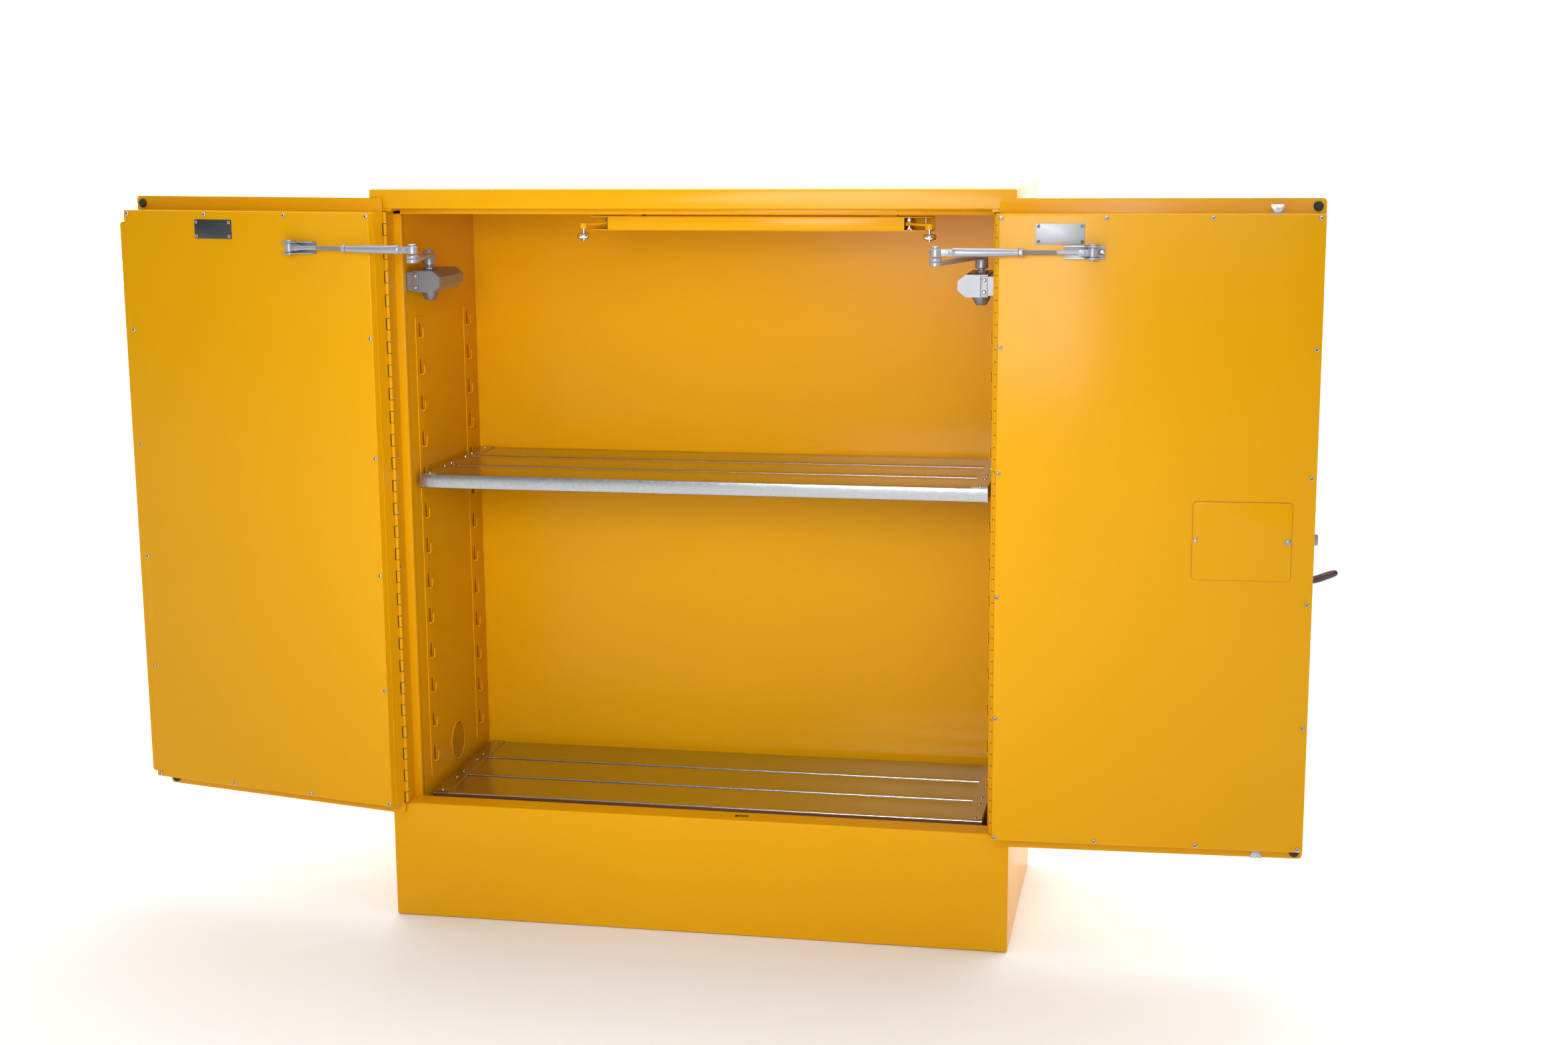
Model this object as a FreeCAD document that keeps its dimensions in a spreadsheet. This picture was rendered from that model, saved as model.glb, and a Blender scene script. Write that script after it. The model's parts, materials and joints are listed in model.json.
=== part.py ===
import FreeCAD, Part
import Sketcher
import math
import os
import re

# Double-walled flammable storage cabinet with two self-closing doors, as a parametric FreeCAD document.
# Frame: +X to the cabinet's right as seen from the front, +Y to the back, +Z up.  The origin is the middle
# of the body's underside.  The doors stand fully open at rest, folded back past the front.  Millimetres.

doc = FreeCAD.newDocument("StorageCabinet")
sizes = doc.addObject("Spreadsheet::Sheet", "Sizes")

# ---------------------------------------------------------------- driving dimensions
CELLS = [
    ("width", 1095, "outer body width"),
    ("depth", 460, "outer body depth"),
    ("height", 1290, "outer body height"),
    ("sheet", 1.2, "steel sheet"),
    ("wall", 39.5, "side wall, outer face to inner face"),
    ("back_wall", 38, "back wall, outer face to inner face"),
    ("roof", 40, "roof, outer face to inner face"),
    ("base_sheet", 1.5, "bottom plate"),
    ("sill_top", 210, "top of the sill above the floor"),
    ("sill_deep", 46, "sill, front to back"),
    ("rail_low", 1257.5, "underside of the top rail"),
    ("frame_deep", 43, "front frame, front to back"),
    ("lip_drop", 10.5, "stop lip below the top rail"),
    ("sump_floor", 61.5, "top of the sump floor"),
    ("hinge_side", 518, "hinge axis, sideways from the middle"),
    ("hinge_out", 7, "hinge axis in front of the body"),
    ("knuckle", 3.2, "hinge knuckle radius"),
    ("pin", 1.5, "hinge pin radius"),
    ("pin_play", 0.05, "radial play on the hinge pin"),
    ("leaf_wide", 30, "hinge leaf, axis to edge"),
    ("knuckle_pitch", 20, "length of one knuckle"),
    ("hinge_low", 213, "lower end of the hinges"),
    ("hinge_long", 1040, "length of the hinges"),
    ("open_left", 192, "left door, closed to open, degrees"),
    ("open_right", 182.5, "right door, closed to open, degrees"),
    ("door_start", 3.6, "hinge axis to the door's hinge edge"),
    ("pan_end", 510.5, "hinge axis to the pan's free edge"),
    ("skin_end", 514, "hinge axis to the skin's free edge"),
    ("skin_in", 0.3, "hinge axis to the skin's outer face"),
    ("pan_in", 45, "hinge axis to the pan's inner face"),
    ("pan_low", 217, "bottom of the pan"),
    ("pan_high", 1252.5, "top of the pan"),
    ("skin_low", 192, "bottom of the skin"),
    ("skin_high", 1276, "top of the skin"),
    ("seal_end", 521, "hinge axis to the centre seal's edge"),
    ("screw_edge", 8, "first pan screw from the hinge axis"),
    ("screw_across", 164.7, "pan screw pitch across"),
    ("screw_up", 204.8, "pan screw pitch up"),
    ("screw_low", 222.3, "lowest pan screw"),
    ("screw_head", 4.3, "button head radius"),
    ("screw_tall", 2.4, "button head height"),
    ("bumper", 6.5, "door bumper radius"),
    ("bumper_tall", 4.6, "door bumper height"),
    ("shelf_half", 500, "shelf, half width"),
    ("shelf_front", -163, "shelf front edge"),
    ("shelf_deep", 333, "shelf, front to back"),
    ("shelf_top", 792, "top of the shelf's slats"),
    ("shelf_tall", 25, "depth of the shelf's folded edges"),
    ("slat_gap", 9, "gap between slats"),
    ("rail_wide", 28, "shelf end rail, width on top"),
    ("grate_top", 210.5, "top of the sump grate's slats"),
    ("hook_low", 258, "bottom of the lowest hooks"),
    ("hook_pitch", 64.25, "hook pitch up the wall"),
    ("hook_tall", 20, "hook height"),
    ("hook_wide", 12, "hook width"),
    ("hook_reach", 7, "hook reach from the wall"),
    ("hook_front", -118, "front column of hooks"),
    ("hook_back", 136, "back column of hooks"),
    ("vent", 35, "flash arrestor flange radius"),
    ("vent_bore", 22, "vent bore radius"),
    ("vent_deep", 10, "vent centre behind the middle"),
    ("vent_low", 258, "height of the low vent"),
    ("vent_high", 1010, "height of the high vent"),
    ("closer_front", -174, "front end of the closer body"),
    ("closer_long", 124, "closer body length"),
    ("closer_out", 497, "closer body, outer side from the middle"),
    ("closer_wide", 50, "closer body width"),
    ("closer_low", 1112, "underside of the closer body"),
    ("closer_tall", 37, "closer body height"),
    ("pinion_side", 482, "closer spindle from the middle"),
    ("pinion_back", -125, "closer spindle, front to back"),
    ("arm_long", 200, "main arm, spindle to elbow"),
    ("forearm_long", 246, "forearm, elbow to shoe pivot"),
    ("arm_level", 1193.5, "height of the forearm's centre line"),
    ("shoe_pivot", 152, "shoe pivot from the hinge axis"),
    ("shoe_near", 44, "closer shoe, from its pivot to its end near the hinge"),
    ("shoe_far", 20, "closer shoe, from its pivot to its far end"),
    ("shoe_out", 17, "shoe pivot above the pan"),
    ("bar_left", -180, "left end of the door coordinator"),
    ("bar_long", 584, "door coordinator length"),
    ("bar_front", -165, "front of the door coordinator"),
    ("bar_deep", 42, "door coordinator, front to back"),
    ("bar_low", 1219, "underside of the door coordinator"),
    ("bar_tall", 24, "door coordinator height"),
    ("bar_pocket", 32, "open pocket at each end of the coordinator"),
    ("finger_back", 15, "coordinator arm pivots behind the coordinator's front"),
    ("finger_in_left", 30, "left coordinator arm's pivot from the end"),
    ("finger_in_right", 40, "right coordinator arm's pivot from the end"),
    ("roller_ahead", 35, "rollers in front of the coordinator, doors open"),
    ("roller", 11.5, "coordinator roller radius"),
    ("roller_pin", 3, "coordinator roller pin radius"),
    ("cover_near", 319, "lock cover, near edge from the hinge axis"),
    ("cover_wide", 155.5, "lock cover, width"),
    ("cover_low", 670, "lock cover, lower edge"),
    ("cover_tall", 127, "lock cover, height"),
    ("plate_near_left", 281, "left blank plate from the hinge axis"),
    ("plate_near_right", 62, "right blank plate from the hinge axis"),
    ("plate_wide", 77.3, "blank plate width"),
    ("plate_low", 1205, "lower edge of the blank plates"),
    ("plate_tall", 33, "blank plate height"),
    ("plate_rivet", 4.5, "blank plate rivets from its edges"),
    ("lock_side", 436, "latch rods and handle from the hinge axis"),
    ("lock_up", 735, "height of the handle spindle"),
    ("rod_in", 33, "latch rods inside the skin's hinge plane"),
    ("bolt_wide", 20, "latch bolt width"),
    ("bolt_thick", 10, "latch bolt thickness"),
]
COUNT_ACROSS = 4
COUNT_UP = 6
HOOKS_UP = 13
SLATS = 3
KNUCKLES = 52

value = {}
for row, (alias, number, note) in enumerate(CELLS, start=1):
    sizes.set("A%d" % row, note)
    sizes.set("B%d" % row, str(number))
    sizes.setAlias("B%d" % row, alias)
    value[alias] = float(number)
doc.recompute()

parts = []


# ---------------------------------------------------------------- helpers
def cells(text):
    """The expression text with each alias pointed at its spreadsheet cell."""
    def cell(match):
        name = match.group(0)
        return "Sizes." + name if name in value else name
    return re.sub(r"[a-z_]+", cell, str(text))


def bind(obj, path, text):
    """Drives one property by an expression over the driving dimensions."""
    obj.setExpression(path, cells(text))


def place(obj, x="0", y="0", z="0"):
    """Binds an object's position."""
    for axis, text in zip("xyz", (x, y, z)):
        bind(obj, "Placement.Base." + axis, text)


def keep(obj, label):
    """Registers a finished sub-part under its node name."""
    obj.Label = label
    parts.append(obj)
    return obj


def box(name, low, size):
    """A box with its lowest corner at low."""
    obj = doc.addObject("Part::Box", name)
    for prop, text in zip(("Length", "Width", "Height"), size):
        bind(obj, prop, text)
    place(obj, *low)
    return obj


TURNS = {
    "x": (FreeCAD.Vector(0, 1, 0), 90),
    "y": (FreeCAD.Vector(1, 0, 0), -90),
    "z": (FreeCAD.Vector(0, 0, 1), 0),
}


def turned(obj, axis, at):
    """Stands a round primitive along an axis, starting at a point."""
    obj.Placement = FreeCAD.Placement(FreeCAD.Vector(), FreeCAD.Rotation(*TURNS[axis]))
    place(obj, *at)
    return obj


def rod(name, radius, length, at, axis="z"):
    """A cylinder along an axis."""
    obj = doc.addObject("Part::Cylinder", name)
    bind(obj, "Radius", radius)
    bind(obj, "Height", length)
    return turned(obj, axis, at)


def cone(name, first, last, length, at, axis="z"):
    """A cone along an axis."""
    obj = doc.addObject("Part::Cone", name)
    bind(obj, "Radius1", first)
    bind(obj, "Radius2", last)
    bind(obj, "Height", length)
    return turned(obj, axis, at)


def nut(name, radius, length, at, axis="z"):
    """A hexagonal prism along an axis."""
    obj = doc.addObject("Part::Prism", name)
    obj.Polygon = 6
    bind(obj, "Circumradius", radius)
    bind(obj, "Height", length)
    return turned(obj, axis, at)


def fuse(name, *shapes):
    """One solid from several that touch."""
    obj = doc.addObject("Part::MultiFuse", name)
    obj.Shapes = list(shapes)
    obj.Refine = True
    return obj


def cut(name, base, *tools):
    """The base less each of the tools."""
    obj = doc.addObject("Part::Cut", name)
    obj.Base = base
    obj.Tool = tools[0] if len(tools) == 1 else group(name + "_tools", *tools)
    return obj


def group(name, *shapes):
    """Separate solids that share one node."""
    obj = doc.addObject("Part::Compound", name)
    obj.Links = list(shapes)
    return obj


def origin_plane(body, role):
    """One of the body's own origin planes."""
    return next(f for f in body.Origin.OriginFeatures if f.Role == role)


def outline(body, name, plane, corners, offset="0"):
    """A closed straight-sided sketch whose corners are expressions."""
    sketch = body.newObject("Sketcher::SketchObject", name)
    sketch.AttachmentSupport = (origin_plane(body, plane), [""])
    sketch.MapMode = "FlatFace"
    bind(sketch, "AttachmentOffset.Base.z", offset)
    count = len(corners)
    start = []
    for i in range(count):
        angle = 2 * math.pi * i / count
        start.append(FreeCAD.Vector(100 * math.cos(angle), 100 * math.sin(angle), 0))
    for i in range(count):
        sketch.addGeometry(Part.LineSegment(start[i], start[(i + 1) % count]))
    for i in range(count):
        sketch.addConstraint(Sketcher.Constraint("Coincident", i, 2, (i + 1) % count, 1))
    for i, (across, up) in enumerate(corners):
        index = sketch.addConstraint(Sketcher.Constraint("DistanceX", -1, 1, i, 1, start[i].x))
        sketch.setExpression("Constraints[%d]" % index, cells(across))
        index = sketch.addConstraint(Sketcher.Constraint("DistanceY", -1, 1, i, 1, start[i].y))
        sketch.setExpression("Constraints[%d]" % index, cells(up))
    return sketch


def new_body(name):
    """An empty PartDesign body."""
    return doc.addObject("PartDesign::Body", name)


def pad(body, sketch, length, reverse=False):
    """A pad of the sketch, along its plane's normal unless reversed."""
    feature = body.newObject("PartDesign::Pad", sketch.Name + "_pad")
    feature.Profile = sketch
    bind(feature, "Length", length)
    feature.Reversed = reverse
    return feature


def pocket(body, sketch, length, reverse=False):
    """A pocket of the sketch, against its plane's normal unless reversed."""
    feature = body.newObject("PartDesign::Pocket", sketch.Name + "_pocket")
    feature.Profile = sketch
    bind(feature, "Length", length)
    feature.Reversed = reverse
    return feature


def rectangle(x_low, y_low, x_high, y_high):
    """The four corners of an upright rectangle."""
    return [(x_low, y_low), (x_high, y_low), (x_high, y_high), (x_low, y_high)]


def round_corners(body, feature, along, radius, wanted):
    """Rounds the feature's edges that run along an axis and pass the wanted test."""
    doc.recompute()
    names = []
    for number, edge in enumerate(feature.Shape.Edges, start=1):
        if len(edge.Vertexes) != 2 or not isinstance(edge.Curve, Part.Line):
            continue
        span = edge.Vertexes[1].Point - edge.Vertexes[0].Point
        span.normalize()
        middle = edge.CenterOfMass
        if abs(getattr(span, along)) > 0.99 and wanted(middle):
            names.append("Edge%d" % number)
    fillet = body.newObject("PartDesign::Fillet", feature.Name + "_round")
    fillet.Base = (feature, names)
    fillet.Radius = radius
    return fillet


UP = FreeCAD.Vector(0, 0, 1)
FRONT = "-depth/2"
BACK = "depth/2"
LINER = "(width/2-wall)"
LINER_FRONT = "(-depth/2+frame_deep)"
LINER_BACK = "(depth/2-back_wall)"
CEILING = "(height-roof)"


# ---------------------------------------------------------------- outer box
def outer_box():
    """Bottom plate, front skirt, sides, back and top."""
    keep(box("base_plate", ("-width/2", FRONT, "0"), ("width", "depth", "base_sheet")), "base_floor")
    keep(box("skirt", ("-width/2", FRONT, "base_sheet"), ("width", "sheet", "sill_top-sheet-base_sheet")),
         "base_front")
    for side, x in (("left", "-width/2"), ("right", "width/2-sheet")):
        panel = box("outer_" + side, (x, FRONT + "+sheet", "base_sheet"),
                    ("sheet", "depth-sheet", "height-sheet-base_sheet"))
        height = "vent_low" if side == "left" else "vent_high"
        hole = rod("outer_hole_" + side, "vent_bore+3", "4*sheet", (x + "-sheet", "vent_deep", height), "x")
        keep(cut("outer_cut_" + side, panel, hole), "side_panel_" + side)
    keep(box("outer_back", ("-width/2+sheet", BACK + "-sheet", "base_sheet"),
             ("width-2*sheet", "sheet", "height-sheet-base_sheet")), "back_panel")
    body = new_body("top_body")
    plan = outline(body, "top_plan", "XY_Plane", rectangle("-width/2", FRONT + "+sheet", "width/2", BACK))
    pad(body, plan, "sheet")
    bind(body, "Placement.Base.z", "height-sheet")
    keep(body, "top_panel")


# ---------------------------------------------------------------- inner box
def inner_box():
    """Liner sheets, sump floor and ceiling, set in from the outer box."""
    low = "(sump_floor-base_sheet)"
    deep = "(depth-frame_deep-back_wall)"
    for side, x in (("left", "-" + LINER + "-sheet"), ("right", LINER)):
        panel = box("liner_sheet_" + side, (x, LINER_FRONT, "sump_floor"),
                    ("sheet", deep, CEILING + "-sump_floor"))
        height = "vent_low" if side == "left" else "vent_high"
        hole = rod("liner_hole_" + side, "vent_bore+3", "4*sheet", (x + "-sheet", "vent_deep", height), "x")
        keep(cut("liner_cut_" + side, panel, hole), "liner_" + side)
    keep(box("liner_sheet_back", ("-" + LINER, LINER_BACK, "sump_floor"),
             ("2*" + LINER, "sheet", CEILING + "-sump_floor")), "liner_back")
    wide = "2*" + LINER + "+2*sheet"
    keep(box("ceiling_sheet", ("-" + LINER + "-sheet", LINER_FRONT, CEILING),
             (wide, deep + "+sheet", "sheet")),
         "liner_ceiling")
    keep(box("sump_sheet", ("-" + LINER + "-sheet", LINER_FRONT, low),
             (wide, deep + "+sheet", "base_sheet")),
         "sump_tray")


# ---------------------------------------------------------------- front frame
def top_rail():
    """Folded top rail with its stop lip and the strike slot for the upper bolt."""
    body = new_body("rail_body")
    back = LINER_FRONT
    fold = [(FRONT, "rail_low"), (back, "rail_low"), (back, "rail_low+sheet"),
            (FRONT + "+sheet", "rail_low+sheet"), (FRONT + "+sheet", "height"), (FRONT, "height")]
    section = outline(body, "rail_section", "YZ_Plane", fold, "-width/2")
    pad(body, section, "width")
    lip = outline(body, "rail_lip", "YZ_Plane",
                  rectangle(back + "-sheet", "rail_low-lip_drop", back, "rail_low"), "-" + LINER)
    pad(body, lip, "2*" + LINER)
    strike = outline(body, "rail_strike", "XY_Plane", strike_corners(), "rail_low")
    pocket(body, strike, "2*sheet", reverse=True)
    clear_side_panels(body, "rail", "rail_low+1.5*sheet")
    keep(body, "top_rail")


def clear_side_panels(body, name, level):
    """Cuts back a frame member's ends where the side panels pass behind its front face."""
    for side, sign in (("left", "-"), ("right", "")):
        corners = [(sign + "(" + x + ")", y) for x, y in
                   rectangle("width/2-sheet", FRONT + "+sheet", "width/2", LINER_FRONT)]
        pocket(body, outline(body, name + "_end_" + side, "XY_Plane", corners, level), "2*sheet")


def strike_corners():
    """The slot over the right door's latch bolt, on the closed door's side of the middle."""
    x = "(hinge_side-lock_side)"
    y = "(-depth/2-hinge_out+rod_in)"
    return rectangle(x + "-bolt_wide/2-2", y + "-bolt_thick/2-2",
                     x + "+bolt_wide/2+2", y + "+bolt_thick/2+2")


def sill():
    """Folded sill over the sump's front wall, with the strike slot for the lower bolt."""
    body = new_body("sill_body")
    back = "(-depth/2+sill_deep)"
    fold = [(FRONT, "sill_top-sheet"), (back + "-sheet", "sill_top-sheet"), (back + "-sheet", "sump_floor"),
            (back, "sump_floor"), (back, "sill_top"), (FRONT, "sill_top")]
    section = outline(body, "sill_section", "YZ_Plane", fold, "-" + LINER)
    pad(body, section, "2*" + LINER)
    for side in ("left", "right"):
        start = "-width/2" if side == "left" else LINER
        end = outline(body, "sill_end_" + side, "YZ_Plane",
                      rectangle(FRONT, "sill_top-sheet", LINER_FRONT, "sill_top"), start)
        pad(body, end, "wall")
    strike = outline(body, "sill_strike", "XY_Plane", strike_corners(), "sill_top")
    pocket(body, strike, "2*sheet")
    clear_side_panels(body, "sill_clear", "sill_top+0.5*sheet")
    keep(body, "sill")


def jamb(side):
    """Folded side post of the front frame: front face, hinge face and stop lip."""
    sign = "-" if side == "left" else ""
    face = "(hinge_side+knuckle)"
    fold = [("width/2", FRONT), (face, FRONT), (face, LINER_FRONT + "-sheet"), (LINER, LINER_FRONT + "-sheet"),
            (LINER, LINER_FRONT), (face + "+sheet", LINER_FRONT), (face + "+sheet", FRONT + "+sheet"),
            ("width/2", FRONT + "+sheet")]
    corners = [(sign + "(" + x + ")", y) for x, y in fold]
    body = new_body("jamb_body_" + side)
    pad(body, outline(body, "jamb_fold_" + side, "XY_Plane", corners), "rail_low-sill_top")
    bind(body, "Placement.Base.z", "sill_top")
    keep(body, "jamb_" + side)


# ---------------------------------------------------------------- continuous hinges
def hinge_leaf(name, leaf_low, leaf_wide, first):
    """A leaf with every other knuckle, about an upright axis through its own origin."""
    sleeve = rod(name + "_sleeve", "knuckle", "hinge_long", ("0", "0", "hinge_low"))
    blade = box(name + "_blade", (leaf_low, "0", "hinge_low"), ("sheet", leaf_wide, "hinge_long"))
    bore = rod(name + "_bore", "pin+pin_play", "hinge_long+4", ("0", "0", "hinge_low-2"))
    gaps = []
    for number in range(first, KNUCKLES, 2):
        gaps.append(box("%s_gap_%d" % (name, number),
                        ("-knuckle-1", "-knuckle-1", "hinge_low+%d*knuckle_pitch-0.25" % number),
                        ("2*knuckle+2", "2*knuckle+1.5", "knuckle_pitch+0.5")))
    return cut(name + "_cut", fuse(name + "_solid", sleeve, blade), group(name + "_gaps", bore, *gaps))


def frame_hinges():
    """The leaves on the frame, their pins and their screws."""
    at_y = "-depth/2-hinge_out"
    screws = []
    for side, x, low in (("left", "-hinge_side", "-knuckle"), ("right", "hinge_side", "knuckle-sheet")):
        leaf = hinge_leaf("frame_leaf_" + side, low, "leaf_wide", 1)
        place(leaf, x, at_y, "0")
        keep(leaf, "hinge_leaf_" + side)
        face = "(hinge_side+knuckle-sheet)"
        for number in range(11):
            height = "hinge_low+20+%d*100" % number
            if side == "left":
                spot = ("-" + face, "-depth/2+10", height)
                screws.append(cone("jamb_screw_%s_%d" % (side, number), "3.4", "2", "1.3", spot, "x"))
            else:
                spot = (face + "-1.3", "-depth/2+10", height)
                screws.append(cone("jamb_screw_%s_%d" % (side, number), "2", "3.4", "1.3", spot, "x"))
    keep(group("jamb_screws", *screws), "hinge_screws")
    pins = [rod("pin_" + side, "pin", "hinge_long+1", (x, at_y, "hinge_low-0.5"))
            for side, x in (("left", "-hinge_side"), ("right", "hinge_side"))]
    keep(group("pins", *pins), "hinge_pins")


# ---------------------------------------------------------------- wall fittings
def wall_hooks():
    """J hooks lanced out of strips on the side walls, four columns."""
    for side, sign in (("left", -1), ("right", 1)):
        hooks = []
        for column in ("hook_front", "hook_back"):
            for number in range(HOOKS_UP):
                name = "hook_%s_%s_%d" % (side, column, number)
                z = "hook_low+%d*hook_pitch" % number
                x = "-" + LINER if sign < 0 else LINER + "-hook_reach"
                inner = x if sign < 0 else x + "+1.5"
                solid = box(name, (x, column + "-hook_wide/2", z), ("hook_reach", "hook_wide", "hook_tall"))
                space = box(name + "_space", (inner, column + "-hook_wide/2-1", z + "+2"),
                            ("hook_reach-1.5", "hook_wide+2", "hook_tall"))
                hooks.append(cut(name + "_j", solid, space))
        keep(group("hooks_" + side, *hooks), "wall_hooks_" + side)


def vents():
    """Flash arrestor flanges inside, the tubes through the walls and the screwed caps outside."""
    arrestors = []
    tubes = []
    for side, sign, height in (("left", -1, "vent_low"), ("right", 1, "vent_high")):
        inner = "-" + LINER if sign < 0 else LINER
        start = inner if sign < 0 else inner + "-5"
        flange = rod("flange_" + side, "vent", "5", (start, "vent_deep", height), "x")
        dish_at = inner + "+2" if sign < 0 else inner + "-6"
        dish = rod("dish_" + side, "vent-6", "4", (dish_at, "vent_deep", height), "x")
        arrestors.append(cut("arrestor_" + side, flange, dish))
        outside = "-width/2-3" if sign < 0 else LINER + "+0.2"
        sleeve = rod("sleeve_" + side, "vent_bore+3", "wall+2.8", (outside, "vent_deep", height), "x")
        bore = rod("vent_bore_" + side, "vent_bore", "wall+8", (outside + "-2", "vent_deep", height), "x")
        tubes.append(cut("vent_tube_" + side, sleeve, bore))
        plate_at = "-width/2-13" if sign < 0 else "width/2+3.2"
        head = rod("cap_head_" + side, "vent_bore+9", "9.8", (plate_at, "vent_deep", height), "x")
        plug_at = "-width/2-4" if sign < 0 else "width/2-14"
        plug = rod("cap_plug_" + side, "vent_bore-0.3", "18", (plug_at, "vent_deep", height), "x")
        grip_at = "-width/2-19" if sign < 0 else "width/2+12"
        grip = nut("cap_grip_" + side, "12", "7", (grip_at, "vent_deep", height), "x")
        keep(fuse("cap_" + side, head, plug, grip), "vent_cap_" + side)
    keep(group("arrestors", *arrestors), "flash_arrestors")
    keep(group("tubes", *tubes), "vent_tubes")


# ---------------------------------------------------------------- shelf and sump grate
def slat(name, number, top):
    """One folded slat: a flat top with its long edges turned down."""
    wide = "((shelf_deep-%d*slat_gap)/%d)" % (SLATS - 1, SLATS)
    y = "shelf_front+%d*(%s+slat_gap)" % (number, wide)
    solid = box("%s_%d" % (name, number), ("-shelf_half+sheet", y, top + "-shelf_tall"),
                ("2*shelf_half-2*sheet", wide, "shelf_tall"))
    under = box("%s_under_%d" % (name, number), ("-shelf_half", y + "+sheet", top + "-shelf_tall-sheet"),
                ("2*shelf_half", wide + "-2*sheet", "shelf_tall"))
    return cut("%s_fold_%d" % (name, number), solid, under)


def end_rail(name, sign, top, low):
    """A folded end rail over the slats' ends, with its outer edge turned down to a given level."""
    x = "-shelf_half" if sign < 0 else "shelf_half-rail_wide"
    solid = box(name, (x, "shelf_front", low), ("rail_wide", "shelf_deep", top + "+sheet-(" + low + ")"))
    inner_x = x + "+sheet" if sign < 0 else x + "-sheet"
    space = box(name + "_space", (inner_x, "shelf_front-1", low + "-1"),
                ("rail_wide", "shelf_deep+2", top + "+1-(" + low + ")"))
    return cut(name + "_fold", solid, space)


def tongue(name, sign, column):
    """A tongue that stands on top of a wall hook and drops behind it."""
    x = "-shelf_half-hook_reach+0.7" if sign < 0 else "shelf_half-0.1"
    top = box(name, (x, column + "-5", "shelf_top"), ("hook_reach-0.6", "10", "sheet"))
    drop_x = x if sign < 0 else "shelf_half+hook_reach-0.7-sheet"
    drop = box(name + "_drop", (drop_x, column + "-5", "shelf_top-6"), ("sheet", "10", "6"))
    return [top, drop]


def shelves():
    """The adjustable shelf on its hooks and the grate over the sump."""
    keep(group("slats", *[slat("slat", i, "shelf_top") for i in range(SLATS)]), "shelf_slats")
    rails = []
    for side, sign in (("left", -1), ("right", 1)):
        rail = end_rail("shelf_rail_" + side, sign, "shelf_top", "shelf_top-shelf_tall")
        pieces = tongue("tongue_f_" + side, sign, "hook_front") + tongue("tongue_b_" + side, sign, "hook_back")
        rails.append(fuse("shelf_end_" + side, rail, *pieces))
    keep(group("shelf_rails", *rails), "shelf_ends")
    keep(group("grate", *[slat("grate", i, "grate_top") for i in range(SLATS)]), "grate_slats")
    ends = [end_rail("grate_rail_" + side, sign, "grate_top", "sump_floor")
            for side, sign in (("left", -1), ("right", 1))]
    keep(group("grate_rails", *ends), "grate_ends")


# ---------------------------------------------------------------- doors
def door_frame(side, obj):
    """Puts a piece drawn about the hinge axis, door closed, into the open rest position."""
    bind(obj, "Placement.Base.x", "-hinge_side" if side == "left" else "hinge_side")
    bind(obj, "Placement.Base.y", "-depth/2-hinge_out")
    obj.setExpression("Placement.Rotation.Angle", cells("-open_left" if side == "left" else "open_right"))
    return obj


def across(side, text):
    """A distance from the hinge axis along the door, in the closed door's X."""
    return "(" + text + ")" if side == "left" else "-(" + text + ")"


def span(side, low, high):
    """Lowest X and length of a stretch along the door."""
    start = low if side == "left" else "-(" + high + ")"
    return start, "(" + high + ")-(" + low + ")"


def door_pad(side, name, x_low, x_high, z_low, z_high, y_low, y_high):
    """A flat plate of the door: outline in the door's plane, thickness through it."""
    body = new_body(name + "_" + side)
    corners = rectangle(across(side, x_low), z_low, across(side, x_high), z_high)
    sketch = outline(body, name + "_plan_" + side, "XZ_Plane", corners, "-(" + y_low + ")")
    feature = pad(body, sketch, "(" + y_high + ")-(" + y_low + ")", reverse=True)
    return body, feature


def skin(side):
    """Outer sheet of the door, standing past the pan at top and bottom, corners rounded."""
    body, feature = door_pad(side, "skin", "door_start", "skin_end", "skin_low", "skin_high",
                             "skin_in", "skin_in+sheet")
    round_corners(body, feature, "y", 8, lambda middle: True)
    keep(door_frame(side, body), "door_skin_" + side)


def pan(side):
    """Hollow inner pan of the door."""
    body, feature = door_pad(side, "pan", "door_start", "pan_end", "pan_low", "pan_high",
                             "skin_in+sheet", "pan_in")
    round_corners(body, feature, "x", 2.5, lambda middle: middle.y > value["pan_in"] - 1)
    hollow = outline(body, "pan_hollow_" + side, "XZ_Plane",
                     rectangle(across(side, "door_start+sheet"), "pan_low+sheet",
                               across(side, "pan_end-sheet"), "pan_high-sheet"), "-(skin_in+sheet)")
    pocket(body, hollow, "pan_in-skin_in-2*sheet")
    if side == "right":
        slot = outline(body, "pan_slot", "XY_Plane",
                       rectangle("-lock_side-bolt_wide/2-1", "rod_in-bolt_thick/2-1",
                                 "-lock_side+bolt_wide/2+1", "rod_in+bolt_thick/2+1"), "pan_low-1")
        pocket(body, slot, "pan_high-pan_low+2", reverse=True)
    keep(door_frame(side, body), "door_pan_" + side)


def door_leaf(side):
    """The hinge leaf on the door's edge."""
    low = "door_start-sheet" if side == "left" else "-door_start"
    leaf = hinge_leaf("door_leaf_" + side, low, "leaf_wide", 0)
    keep(door_frame(side, leaf), "door_leaf_" + side)


def button(name, x, y, z, way):
    """A button-head socket screw, its head standing off a face along Y."""
    start = y if way > 0 else y + "-screw_tall"
    first, last = ("screw_head", "screw_head*0.62") if way > 0 else ("screw_head*0.62", "screw_head")
    head = cone(name, first, last, "screw_tall", (x, start, z), "y")
    socket_at = y + "+screw_tall*0.4" if way > 0 else y + "-screw_tall-0.1"
    socket = nut(name + "_socket", "1.7", "screw_tall*0.6+0.1", (x, socket_at, z), "y")
    return cut(name + "_head", head, socket)


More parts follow.
